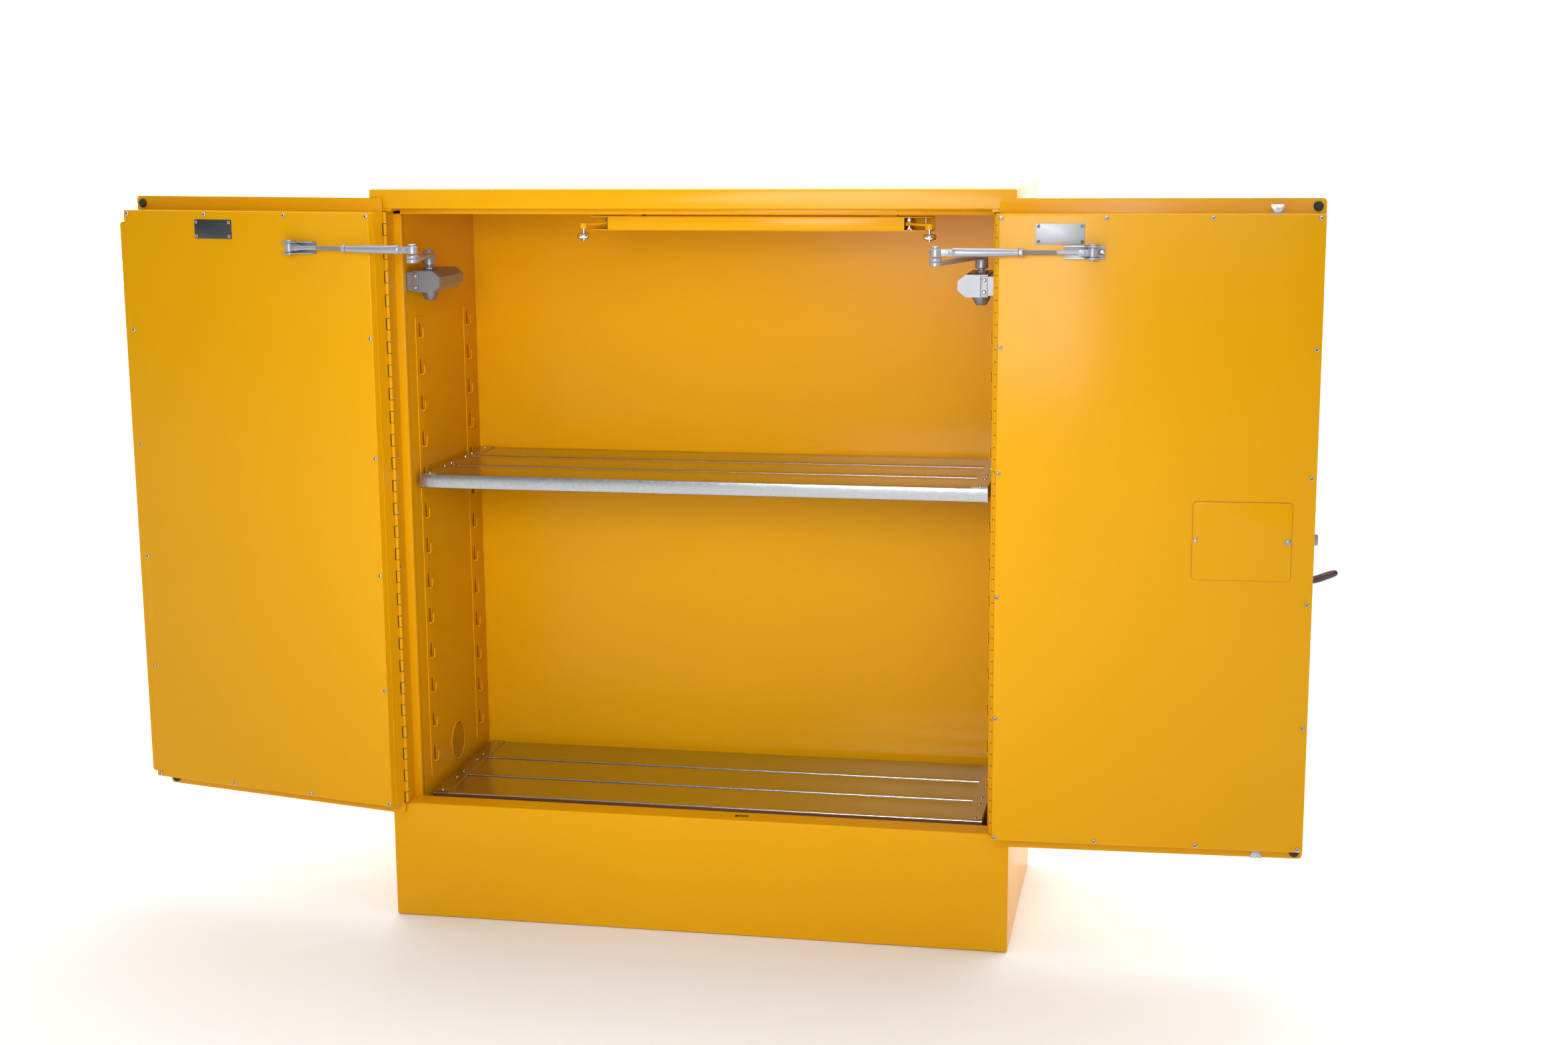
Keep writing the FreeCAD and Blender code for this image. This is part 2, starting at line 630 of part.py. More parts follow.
def pan_screws(side):
    """Button heads round the edge of the pan."""
    heads = []
    for i in range(COUNT_ACROSS):
        for j in range(COUNT_UP):
            if i in (0, COUNT_ACROSS - 1) or j in (0, COUNT_UP - 1):
                x = across(side, "screw_edge+%d*screw_across" % i)
                heads.append(button("pan_screw_%s_%d_%d" % (side, i, j), x, "pan_in",
                                    "screw_low+%d*screw_up" % j, 1))
    keep(door_frame(side, group("pan_screw_group_" + side, *heads)), "door_screws_" + side)


def bumpers(side):
    """Rubber buttons on the skin's top and bottom margins, which meet the frame."""
    buttons = []
    for end, z in (("low", "skin_low+7.5"), ("high", "skin_high-11")):
        buttons.append(cone("bumper_%s_%s" % (end, side), "bumper", "bumper-1.3", "bumper_tall",
                            (across(side, "501"), "skin_in+sheet", z), "y"))
    keep(door_frame(side, group("bumper_group_" + side, *buttons)), "door_bumpers_" + side)


def label_plate(side):
    """Thin blank plate near the top of the pan, held by four rivets."""
    near = "plate_near_" + side
    x_start, long = span(side, near, near + "+plate_wide")
    pieces = [box("label_" + side, (x_start, "pan_in", "plate_low"), (long, "1", "plate_tall"))]
    for i, x in enumerate((near + "+plate_rivet", near + "+plate_wide-plate_rivet")):
        for j, z in enumerate(("plate_low+plate_rivet", "plate_low+plate_tall-plate_rivet")):
            pieces.append(cone("label_rivet_%s_%d%d" % (side, i, j), "2.4", "1.5", "1.2",
                               (across(side, x), "pan_in+0.8", z), "y"))
    keep(door_frame(side, fuse("label_plate_" + side, *pieces)), "blank_plate_" + side)


def shoe(side):
    """Closer shoe: channel with two flanges, and the pivot pin between them."""
    x_start, long = span(side, "shoe_pivot-shoe_near", "shoe_pivot+shoe_far")
    base = box("shoe_base_" + side, (x_start, "pan_in", "arm_level-10.5"), (long, "2.5", "21"))
    ears = [box("shoe_ear_%s_%s" % (name, side), (x_start, "pan_in+2", z), (long, "shoe_out+4", "2.5"))
            for name, z in (("low", "arm_level-10.5"), ("high", "arm_level+8"))]
    pivot = rod("shoe_pin_" + side, "4", "25",
                (across(side, "shoe_pivot"), "pan_in+shoe_out", "arm_level-12.5"))
    keep(door_frame(side, fuse("shoe_" + side, base, pivot, *ears)), "closer_shoe_" + side)


def centre_seal():
    """Strip along the left door's free edge that closes the gap between the doors."""
    body = new_body("seal_body")
    fold = [("pan_end", "pan_in-12"), ("pan_end+sheet", "pan_in-12"), ("pan_end+sheet", "pan_in-1-sheet"),
            ("seal_end", "pan_in-1-sheet"), ("seal_end", "pan_in-1"), ("pan_end", "pan_in-1")]
    pad(body, outline(body, "seal_fold", "XY_Plane", fold), "pan_high-pan_low-34")
    door_frame("left", body)
    bind(body, "Placement.Base.z", "pan_low+17")
    keep(body, "centre_seal")


# ---------------------------------------------------------------- lock
def lock_cover():
    """Raised cover over the lock, on the right door's inner face."""
    body, feature = door_pad("right", "cover", "cover_near", "cover_near+cover_wide", "cover_low",
                             "cover_low+cover_tall", "pan_in", "pan_in+2")
    round_corners(body, feature, "y", 6, lambda middle: True)
    keep(door_frame("right", body), "lock_cover")


def lock_plate():
    """Escutcheon on the outer face, with the tab that takes a padlock past the door's edge."""
    body = new_body("escutcheon_body")
    corners = [("400", "664"), ("472", "664"), ("472", "720.5"), ("520.5", "720.5"), ("520.5", "739.5"),
               ("472", "739.5"), ("472", "806"), ("400", "806")]
    corners = [(across("right", x), z) for x, z in corners]
    sketch = outline(body, "escutcheon_plan", "XZ_Plane", corners, "-(skin_in-7)")
    pad(body, sketch, "7", reverse=True)
    hole = outline(body, "escutcheon_hole", "XZ_Plane",
                   rectangle("-lock_side-10", "lock_up-10", "-lock_side+10", "lock_up+10"), "-(skin_in-8)")
    pocket(body, hole, "9")
    round_corners(body, body.Tip, "y", 2.5, lambda middle: abs(middle.z - value["lock_up"]) > 12)
    keep(door_frame("right", body), "lock_plate")


def skin_hole():
    """Clears the handle spindle through the right door's skin."""
    body = next(p for p in parts if p.Label == "door_skin_right")
    hole = outline(body, "skin_spindle_hole", "XZ_Plane",
                   rectangle("-lock_side-10", "lock_up-10", "-lock_side+10", "lock_up+10"), "-(skin_in-1)")
    pocket(body, hole, "sheet+2")


def handle():
    """Curved lever on a round hub, with its spindle and the cam that works the rods."""
    body = new_body("lever_body")
    shape = [("422", "750"), ("450", "750"), ("520", "682"), ("555", "679.5"), ("555", "667"), ("514", "656"),
             ("498", "661"), ("422", "721")]
    corners = [(across("right", x), z) for x, z in shape]
    pad(body, outline(body, "lever_plan", "XZ_Plane", corners, "34"), "12", reverse=True)
    x = "-lock_side"
    hub = rod("handle_hub", "18", "28.5", (x, "-36", "lock_up"), "y")
    spindle = rod("handle_spindle", "7", "36", (x, "-9", "lock_up"), "y")
    cam = box("handle_cam", ("-lock_side-9", "22", "lock_up-24"), ("18", "4", "48"))
    keep(door_frame("right", fuse("handle_solid", body, hub, spindle, cam)), "door_handle")


def latch(end):
    """A latch bolt and its rod, inside the right door."""
    x = "-lock_side"
    if end == "top":
        bar = rod("rod_top", "4", "pan_high-lock_up-30", (x, "rod_in", "lock_up+16"))
        tip = box("bolt_top", (x + "-bolt_wide/2", "rod_in-bolt_thick/2", "pan_high-16"),
                  ("bolt_wide", "bolt_thick", "20"))
    else:
        bar = rod("rod_bottom", "4", "lock_up-sill_top-34", (x, "rod_in", "sill_top+18"))
        tip = box("bolt_bottom", (x + "-bolt_wide/2", "rod_in-bolt_thick/2", "sill_top+0.7"),
                  ("bolt_wide", "bolt_thick", "20"))
    keep(door_frame("right", fuse("latch_solid_" + end, bar, tip)), "latch_bolt_" + end)


def doors():
    """Both doors and what rides on them."""
    for side in ("left", "right"):
        skin(side)
        pan(side)
        door_leaf(side)
        pan_screws(side)
        bumpers(side)
        label_plate(side)
        shoe(side)
    centre_seal()
    lock_cover()
    lock_plate()
    skin_hole()
    handle()
    latch("top")
    latch("bottom")


# ---------------------------------------------------------------- door closers
def meet(first, reach_one, second, reach_two, side):
    """Where two links of given length meet, on the inner side of the line between their pivots."""
    gap = second - first
    span_long = gap.Length
    along = (reach_one ** 2 + span_long ** 2 - reach_two ** 2) / (2 * span_long)
    off = math.sqrt(reach_one ** 2 - along ** 2)
    unit = gap / span_long
    normal = FreeCAD.Vector(-unit.y, unit.x, 0) * (1 if side == "left" else -1)
    return first + unit * along + normal * off


def closer_pivots(side, turn):
    """Spindle, elbow and shoe pivot in plan with the door open by a given number of degrees."""
    sign = -1 if side == "left" else 1
    spindle = FreeCAD.Vector(sign * value["pinion_side"], value["pinion_back"], 0)
    angle = math.radians(turn)
    reach = value["shoe_pivot"]
    inward = value["pan_in"] + value["shoe_out"]
    hinge = FreeCAD.Vector(sign * value["hinge_side"], -value["depth"] / 2 - value["hinge_out"], 0)
    along = FreeCAD.Vector(-sign * math.cos(angle), -math.sin(angle), 0)
    inner = FreeCAD.Vector(-sign * math.sin(angle), math.cos(angle), 0)
    pivot = hinge + along * reach + inner * inward
    return spindle, meet(spindle, value["arm_long"], pivot, value["forearm_long"], side), pivot


def heading(start, end):
    """Direction of a line in plan, in degrees."""
    return math.degrees(math.atan2(end.y - start.y, end.x - start.x))


def closer_body(side):
    """Closer casting on its wall plate, with end plate, spindle nut and spring cap."""
    sign = -1 if side == "left" else 1
    body = new_body("closer_" + side)
    inner = "(closer_out-closer_wide)"
    top = "(closer_low+closer_tall)"
    shape = [("closer_out", "closer_low"), (inner + "+13", "closer_low"), (inner, "closer_low+11"),
             (inner, top + "-11"), (inner + "+13", top), ("closer_out", top)]
    corners = [("%d*(%s)" % (sign, x), z) for x, z in shape]
    sketch = outline(body, "closer_section_" + side, "XZ_Plane", corners, "-closer_front")
    pad(body, sketch, "closer_long", reverse=True)
    x = "%d*pinion_side" % sign
    plate_x = "-" + LINER if sign < 0 else "closer_out-1"
    plate = box("closer_plate_" + side, (plate_x, "closer_front+2", "closer_low+2"),
                (LINER + "-closer_out+1", "closer_long-4", "closer_tall-4"))
    collar = nut("closer_collar_" + side, "9.5", "6.5", (x, "pinion_back", top + "-0.5"))
    cap = cone("closer_cap_" + side, "9.5", "15", "10", (x, "pinion_back", "closer_low-16"))
    rim = rod("closer_rim_" + side, "15", "6.5", (x, "pinion_back", "closer_low-6"))
    keep(fuse("closer_solid_" + side, body, plate, collar, cap, rim), "closer_body_" + side)


def main_arm(side):
    """Flat main arm: boss on the spindle, bar and elbow boss.  Drawn along +X from the spindle."""
    spindle, elbow = closer_pivots(side, value["open_" + side])[:2]
    level = "arm_level-7"
    boss = rod("boss_" + side, "11", "24", ("0", "0", level + "-30"))
    screw = nut("boss_nut_" + side, "6", "3.5", ("0", "0", level + "-6.2"))
    bar = box("bar_" + side, ("0", "-8", level + "-14"), ("arm_long", "16", "6"))
    end = rod("elbow_boss_" + side, "10", "13.5", ("arm_long", "0", level + "-14"))
    arm = fuse("main_arm_solid_" + side, boss, screw, bar, end)
    turn = FreeCAD.Rotation(UP, heading(spindle, elbow))
    arm.Placement = FreeCAD.Placement(spindle, turn)
    keep(arm, "main_arm_" + side)


def forearm(side):
    """Adjustable forearm: eye at the elbow, tube, lock nut, threaded rod and eye in the shoe.
    Drawn along +X from the shoe pivot to the elbow."""
    elbow, pivot = closer_pivots(side, value["open_" + side])[1:]
    level = "arm_level"
    eye = rod("eye_" + side, "7.5", "14", ("0", "0", level + "-7"))
    eye_neck = box("neck_" + side, ("0", "-4", level + "-4"), ("22", "8", "8"))
    bore = rod("eye_bore_" + side, "4.06", "30", ("0", "0", level + "-15"))
    thread = rod("thread_" + side, "4", "forearm_long-140", ("15", "0", level), "x")
    lock = nut("lock_nut_" + side, "7", "7", ("forearm_long-130", "0", level), "x")
    tube = rod("tube_" + side, "6", "forearm_long-148", ("forearm_long-123", "0", level), "x")
    flat = box("flat_" + side, ("forearm_long-34", "-3.5", level + "-5.5"), ("30", "7", "11"))
    hub = rod("hub_" + side, "9", "12", ("forearm_long", "0", level + "-6"))
    head = rod("head_" + side, "6.5", "3.2", ("forearm_long", "0", level + "+6"))
    rivet = rod("rivet_" + side, "4", "9", ("forearm_long-17", "-4.5", level), "y")
    solid = fuse("forearm_fuse_" + side, eye, eye_neck, thread, lock, tube, flat, hub, head, rivet)
    arm = cut("forearm_cut_" + side, solid, bore)
    turn = FreeCAD.Rotation(UP, heading(pivot, elbow))
    arm.Placement = FreeCAD.Placement(pivot, turn)
    keep(arm, "forearm_" + side)


# ---------------------------------------------------------------- door coordinator
def coordinator_bar():
    """Folded housing under the ceiling, open in front at both ends."""
    low = ("bar_left", "bar_front", "bar_low")
    solid = box("bar_solid", low, ("bar_long", "bar_deep", "bar_tall"))
    space = box("bar_space", ("bar_left-1", "bar_front+2", "bar_low+2"),
                ("bar_long+2", "bar_deep-4", "bar_tall-4"))
    left = box("bar_pocket_left", ("bar_left-1", "bar_front-1", "bar_low+2"),
               ("bar_pocket+1", "4", "bar_tall-4"))
    right = box("bar_pocket_right", ("bar_left+bar_long-1.45*bar_pocket", "bar_front-1", "bar_low+2"),
                ("1.45*bar_pocket+1", "4", "bar_tall-4"))
    feet = [box("bar_foot_%d" % i,
                ("bar_left+60+%d*(bar_long-150)" % i, "bar_front+8", "bar_low+bar_tall-0.5"),
                ("30", "bar_deep-16", CEILING + "-bar_low-bar_tall+0.5")) for i in range(2)]
    keep(fuse("bar_fused", cut("bar_hollow", solid, space, left, right), *feet), "coordinator_bar")


def finger_points(side):
    """Pivot and roller centre of a coordinator arm in plan, and the arm's heading in degrees."""
    left = side == "left"
    end = value["bar_left"] if left else value["bar_left"] + value["bar_long"]
    inset = value["finger_in_left"] if left else -value["finger_in_right"]
    pivot = FreeCAD.Vector(end + inset, value["bar_front"] + value["finger_back"], 0)
    tip = FreeCAD.Vector(end, value["bar_front"] - value["roller_ahead"], 0)
    return pivot, tip, heading(pivot, tip)


def finger(side):
    """Coordinator arm: pivot eye in the housing, flat bar and boss with the roller's pin.
    Drawn along +X from its pivot."""
    pivot, _, turn = finger_points(side)
    reach = "sqrt(finger_in_%s*finger_in_%s+(finger_back+roller_ahead)^2)" % (side, side)
    level = "(bar_low+bar_tall/2)"
    eye = rod("finger_eye_" + side, "7", "6", ("0", "0", level + "-3"))
    bar = box("finger_bar_" + side, ("0", "-5", level + "-2"), (reach, "10", "4"))
    boss = rod("finger_boss_" + side, "6.5", "9", (reach, "0", level + "-7"))
    pin = rod("finger_pin_" + side, "roller_pin", "19.5", (reach, "0", "bar_low-14.5"))
    washer = rod("finger_tip_" + side, "roller_pin+1.5", "1.4", (reach, "0", "bar_low-14.5"))
    arm = fuse("finger_solid_" + side, eye, bar, boss, pin, washer)
    arm.Placement = FreeCAD.Placement(pivot, FreeCAD.Rotation(UP, turn))
    keep(arm, "coordinator_arm_" + side)


def roller(side):
    """Barrel roller under the coordinator arm's boss."""
    ring = rod("roller_ring_" + side, "roller", "7", ("0", "0", "0"))
    top = cone("roller_top_" + side, "roller", "roller-3", "1.5", ("0", "0", "7"))
    bottom = cone("roller_bottom_" + side, "roller-3", "roller", "1.5", ("0", "0", "-1.5"))
    bore = rod("roller_bore_" + side, "roller_pin+pin_play+0.01", "20", ("0", "0", "-5"))
    solid = cut("roller_cut_" + side, fuse("roller_fuse_" + side, ring, top, bottom), bore)
    tip = finger_points(side)[1]
    place(solid, "%r" % tip.x, "%r" % tip.y, "bar_low-10.8")
    keep(solid, "coordinator_roller_" + side)


# ---------------------------------------------------------------- build, check and write
outer_box()
inner_box()
top_rail()
sill()
for each in ("left", "right"):
    jamb(each)
frame_hinges()
wall_hooks()
vents()
shelves()
doors()
for each in ("left", "right"):
    closer_body(each)
    main_arm(each)
    forearm(each)
    finger(each)
    roller(each)
coordinator_bar()
doc.recompute()

broken = [o.Name for o in doc.Objects if "Invalid" in o.State or "Error" in o.State]
if broken:
    raise RuntimeError("features failed: " + ", ".join(broken))
for part in parts:
    if part.Shape.isNull() or not part.Shape.isValid():
        raise RuntimeError("bad shape: " + part.Label)

os.makedirs("parts", exist_ok=True)
for part in parts:
    part.Shape.exportStep("parts/" + part.Label + ".step")
print(len(parts), "nodes")
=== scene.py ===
import json
import math
import bmesh
import bpy
from mathutils import Matrix, Vector


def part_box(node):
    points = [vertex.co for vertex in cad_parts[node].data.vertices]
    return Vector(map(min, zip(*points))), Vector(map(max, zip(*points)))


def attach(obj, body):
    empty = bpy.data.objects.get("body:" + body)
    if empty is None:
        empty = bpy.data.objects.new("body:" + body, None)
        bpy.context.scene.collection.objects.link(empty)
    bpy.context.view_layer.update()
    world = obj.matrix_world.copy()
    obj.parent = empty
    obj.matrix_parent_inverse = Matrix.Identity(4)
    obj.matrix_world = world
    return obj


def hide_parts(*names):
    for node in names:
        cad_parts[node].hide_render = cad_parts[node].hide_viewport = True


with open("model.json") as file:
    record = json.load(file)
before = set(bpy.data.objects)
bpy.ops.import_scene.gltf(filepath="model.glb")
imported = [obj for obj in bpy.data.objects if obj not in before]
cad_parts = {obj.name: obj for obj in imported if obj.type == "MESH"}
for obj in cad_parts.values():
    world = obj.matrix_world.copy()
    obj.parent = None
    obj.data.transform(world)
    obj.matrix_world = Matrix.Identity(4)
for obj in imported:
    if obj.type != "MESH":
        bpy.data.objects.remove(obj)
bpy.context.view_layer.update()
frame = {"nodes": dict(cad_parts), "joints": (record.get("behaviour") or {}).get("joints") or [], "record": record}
joints = {j["name"]: j for j in frame["joints"]}
SIDES = ("left", "right")
HANDS = (("left", -1), ("right", 1))
ARM = 0.2
FOREARM = 0.246


# ---------------------------------------------------------------- camera, floor and light
def make_camera():
    """Camera at the photograph's view: a little right of the middle, looking down and to the left."""
    data = bpy.data.cameras.new("camera")
    data.sensor_width = 36
    data.lens = 49.8
    camera = bpy.data.objects.new("camera", data)
    bpy.context.scene.collection.objects.link(camera)
    turn = Matrix.Rotation(math.radians(10.825), 4, "Z") @ Matrix.Rotation(math.radians(79.488), 4, "X")
    roll = Matrix.Rotation(math.radians(-0.361), 4, "Z")
    camera.matrix_world = shift(0.837, -3.7446, 1.4008) @ turn @ roll
    bpy.context.scene.camera = camera


def area_light(name, place, aim, wide, high, power, spread=math.pi):
    """A soft rectangular light aimed at a point."""
    data = bpy.data.lights.new(name, "AREA")
    data.shape = "RECTANGLE"
    data.size = wide
    data.size_y = high
    data.energy = power
    data.spread = spread
    light = bpy.data.objects.new(name, data)
    bpy.context.scene.collection.objects.link(light)
    light.location = place
    light.rotation_euler = (Vector(aim) - Vector(place)).to_track_quat("-Z", "Y").to_euler()


def make_stage():
    """Pale floor, white surroundings and four soft lights."""
    mesh = bpy.data.meshes.new("floor")
    bm = bmesh.new()
    bmesh.ops.create_grid(bm, x_segments=1, y_segments=1, size=14)
    bm.to_mesh(mesh)
    bm.free()
    floor = bpy.data.objects.new("floor", mesh)
    floor.location.z = -0.0005
    bpy.context.scene.collection.objects.link(floor)
    floor.data.materials.append(finish("floor_pale", (0.9, 0.9, 0.895), (0.87, 0.87, 0.865), 0.0, 0.7))
    bpy.context.scene.world = studio_world()
    bpy.context.scene.view_settings.view_transform = "Standard"
    area_light("key", (0.9, -4.3, 2.5), (0, 0, 0.7), 2.4, 1.6, 44)
    area_light("inside", (0.15, -2.5, 1.3), (0, 0.2, 0.72), 0.8, 0.8, 4.0, 1.0)
    area_light("fill", (-2.6, -3.6, 2.2), (-0.1, 0, 0.7), 1.8, 2.0, 10)
    area_light("top", (0.3, 0.6, 3.8), (0, 0, 1.2), 3.2, 2.2, 30)


def studio_world():
    """White above and behind the cabinet, falling off to grey in front of it."""
    world = bpy.data.worlds.new("studio")
    world.use_nodes = True
    tree = world.node_tree
    way = node(tree, "ShaderNodeTexCoord")
    rise = node(tree, "ShaderNodeVectorMath", Vector=way.outputs["Generated"])
    rise.operation = "DOT_PRODUCT"
    rise.inputs[1].default_value = (0, 0.85, 0.5)
    level = node(tree, "ShaderNodeMapRange", Value=rise.outputs["Value"], From_Min=-0.3, From_Max=0.95,
        To_Min=0.08, To_Max=2.1)
    back = tree.nodes["Background"]
    back.inputs["Color"].default_value = (1.0, 1.0, 1.0, 1)
    tree.links.new(level.outputs["Result"], back.inputs["Strength"])
    return world


# ---------------------------------------------------------------- materials
def node(tree, kind, **inputs):
    """A shader node with some of its inputs set; a value that is a socket is linked."""
    made = tree.nodes.new(kind)
    for key, given in inputs.items():
        socket = made.inputs[key.replace("_", " ")]
        if isinstance(given, bpy.types.NodeSocket):
            tree.links.new(given, socket)
        else:
            socket.default_value = given
    return made


def mapped(tree, stretch):
    """Object coordinates, in metres, stretched along each axis."""
    spot = node(tree, "ShaderNodeTexCoord")
    return node(tree, "ShaderNodeMapping", Vector=spot.outputs["Object"], Scale=stretch).outputs["Vector"]


def blend_colours(tree, share, first, second):
    """A mix of two colours by a share."""
    mix = tree.nodes.new("ShaderNodeMix")
    mix.data_type = "RGBA"
    tree.links.new(share, mix.inputs["Factor"])
    mix.inputs["A"].default_value = (*first, 1)
    mix.inputs["B"].default_value = (*second, 1)
    return mix.outputs["Result"]


def finish(name, first, second, metallic, rough, spread=0.04, patch=9.0, grain=900.0, bump=0.02, depth=0.0002,
        coat=0.0, coat_rough=0.08, stretch=(1, 1, 1), cells=0.0, ior=1.5):
    """A procedural finish: two close colours in soft patches, uneven gloss and a fine bump.  With cells,
    the patches are the crystals of hot-dip zinc."""
    if name in bpy.data.materials:
        return bpy.data.materials[name]
    made = bpy.data.materials.new(name)
    made.use_nodes = True
    tree = made.node_tree
    shader = tree.nodes["Principled BSDF"]
    spot = mapped(tree, stretch)
    soft = node(tree, "ShaderNodeTexNoise", Vector=spot, Scale=patch, Detail=4.0, Roughness=0.6)
    share = soft.outputs["Fac"]
    if cells:
        crystal = node(tree, "ShaderNodeTexVoronoi", Vector=spot, Scale=cells)
        grey = node(tree, "ShaderNodeRGBToBW", Color=crystal.outputs["Color"])
        both = node(tree, "ShaderNodeMath")
        both.operation = "MULTIPLY_ADD"
        tree.links.new(grey.outputs["Val"], both.inputs[0])
        both.inputs[1].default_value = 0.65
        both.inputs[2].default_value = 0.1
        share = both.outputs["Value"]
    tree.links.new(blend_colours(tree, share, first, second), shader.inputs["Base Color"])
    gloss = node(tree, "ShaderNodeMapRange", Value=share, To_Min=rough - spread, To_Max=rough + spread)
    tree.links.new(gloss.outputs["Result"], shader.inputs["Roughness"])
    fine = node(tree, "ShaderNodeTexNoise", Vector=spot, Scale=grain, Detail=2.0)
    relief = node(tree, "ShaderNodeBump", Strength=bump, Distance=depth, Height=fine.outputs["Fac"])
    tree.links.new(relief.outputs["Normal"], shader.inputs["Normal"])
    shader.inputs["Metallic"].default_value = metallic
    shader.inputs["IOR"].default_value = ior
    shader.inputs["Coat Weight"].default_value = coat
    shader.inputs["Coat Roughness"].default_value = coat_rough
    return made


def yellow():
    """Glossy safety-yellow powder coat with a fine orange peel."""
    return finish("yellow_powder_coat", (0.79, 0.378, 0.003), (0.75, 0.355, 0.0026), 0.0, 0.2, 0.04, 5.0,
        420.0, 0.1, 0.0004, ior=1.22)


def painted_shade_yellow():
    """The same paint darkened as painted shade, on lanced edges, in slots and along seams."""
    return finish("yellow_paint_shaded", (0.42, 0.15, 0.003), (0.36, 0.12, 0.002), 0.0, 0.35, 0.06, 20.0,
        500.0, 0.12, 0.0003)


def zinc():
    """Bright zinc plate on screws, with a faint blue and straw bloom."""
    return finish("zinc_plated_steel", (0.58, 0.6, 0.64), (0.48, 0.47, 0.43), 1.0, 0.28, 0.08, 160.0, 1800.0,
        0.05)


def galvanised():
    """Galvanised sheet: small crystals and a soft mirror."""
    return finish("galvanised_sheet", (0.5, 0.51, 0.52), (0.41, 0.425, 0.44), 1.0, 0.24, 0.07, 9.0, 1500.0,
        0.06, 0.0002, cells=260.0)


def silver():
    """Silver-grey enamel on the closers."""
    return finish("silver_enamel", (0.4, 0.415, 0.46), (0.35, 0.365, 0.41), 0.55, 0.38, 0.05, 40.0, 2600.0,
        0.1, 0.0002, coat=0.25, coat_rough=0.2)


def casting():
    """Darker enamel of the closer castings and the threaded rods."""
    return finish("grey_enamel_casting", (0.25, 0.26, 0.29), (0.21, 0.22, 0.245), 0.55, 0.36, 0.05, 40.0,
        2600.0, 0.1, 0.0002, coat=0.2, coat_rough=0.2)


def chrome():
    """Polished rollers and pins."""
    return finish("polished_steel", (0.86, 0.86, 0.87), (0.78, 0.78, 0.79), 1.0, 0.12, 0.04, 120.0, 2400.0,
        0.03)


def rubber():
    """Matt black rubber; the same black also serves as painted shade in screw heads, rivet hollows and the key
    slot.
    """
    return finish("black_rubber", (0.012, 0.012, 0.013), (0.03, 0.03, 0.03), 0.0, 0.62, 0.08, 260.0, 2200.0,
        0.3)


def dark_plate():
    """Dark satin plate with fine brushing along its length."""
    return finish("dark_satin_plate", (0.05, 0.056, 0.062), (0.085, 0.092, 0.1), 0.6, 0.33, 0.06, 60.0, 900.0,
        0.2, stretch=(1, 1, 14))


def brushed():
    """Brushed stainless plate."""
    return finish("brushed_stainless", (0.34, 0.35, 0.37), (0.46, 0.47, 0.49), 0.8, 0.42, 0.07, 90.0, 900.0,
        0.25, stretch=(1, 1, 16))


def grey_lock():
    """Die-cast grey of the lock's tab and escutcheon."""
    return finish("die_cast_grey", (0.4, 0.41, 0.43), (0.33, 0.34, 0.36), 0.7, 0.36, 0.07, 80.0, 1500.0, 0.15)


def dark_handle():
    """Glossy brown-black moulding."""
    return finish("brown_black_moulding", (0.04, 0.014, 0.02), (0.06, 0.022, 0.03), 0.0, 0.22, 0.05, 70.0,
        1200.0, 0.08, coat=0.4)


def painted_shade_dark():
    """Painted shade: the unlit inside of the double wall, of slots and holes, and of the joints between hinge
    knuckles.
    """
    return finish("double_wall_gap", (0.05, 0.022, 0.004), (0.03, 0.012, 0.003), 0.0, 0.7)


SLOT_FINISH = {"yellow_paint": yellow, "zinc_plate": zinc, "galvanised": galvanised, "silver_paint": silver,
    "bright_steel": chrome, "brass_cap": yellow, "bumper_rubber": rubber, "dark_plate": dark_plate,
    "brushed_plate": brushed, "grey_lock": grey_lock, "dark_handle": dark_handle}


def dress_cad():
    """Gives each CAD node that stays the finish of its slot."""
    for part in frame["record"]["subparts"]:
        obj = frame["nodes"][part["node"]]
        if not obj.hide_render:
            obj.data.materials.clear()
            obj.data.materials.append(SLOT_FINISH[part["material_slot"]]())


# ---------------------------------------------------------------- mesh helpers, all in metres
def crisp(bm, angle=34):
    """Smooth faces with the sharp edges left crisp."""
    bmesh.ops.recalc_face_normals(bm, faces=bm.faces)
    for face in bm.faces:
        face.smooth = True
    for edge in bm.edges:
        edge.smooth = len(edge.link_faces) != 2 or edge.calc_face_angle(0) < math.radians(angle)
    return bm


def add(bm, part, place=None):
    """Adds one mesh to another, moved into place, and returns the sum."""
    if place is not None:
        part.transform(place)
    data = bpy.data.meshes.new("part")
    part.to_mesh(data)
    part.free()
    bm.from_mesh(data)
    bpy.data.meshes.remove(data)
    return bm


def total(*parts):
    """One mesh from several."""
    bm = bmesh.new()
    for part in parts:
        add(bm, part)
    return bm


def piece(name, bm, body, slot, place=None, replaces=(), look=None, angle=34):
    """A new object from a mesh: put in place, riding on a body, in a slot's finish or in its own."""
    if place is not None:
        bm.transform(place)
    crisp(bm, angle)
    data = bpy.data.meshes.new(name)
    bm.to_mesh(data)
    bm.free()
    obj = bpy.data.objects.new(name, data)
    bpy.context.scene.collection.objects.link(obj)
    data.materials.append(look or SLOT_FINISH[slot]())
    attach(obj, body)
    if replaces:
        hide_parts(*replaces)
    return obj


def case_piece(name, bm, replaces=(), look=None):
    """A piece of the yellow case."""
    return piece(name, bm, "cabinet", "yellow_paint", replaces=replaces, look=look)


def soften(bm, amount, steps=2, least=30):
    """Rounds every edge sharper than an angle."""
    bm.normal_update()
    sharp = [e for e in bm.edges if len(e.link_faces) == 2 and e.calc_face_angle(0) > math.radians(least)]
    bmesh.ops.bevel(bm, geom=sharp, offset=amount, segments=steps, profile=0.5, affect="EDGES",
        clamp_overlap=True)
    return bm


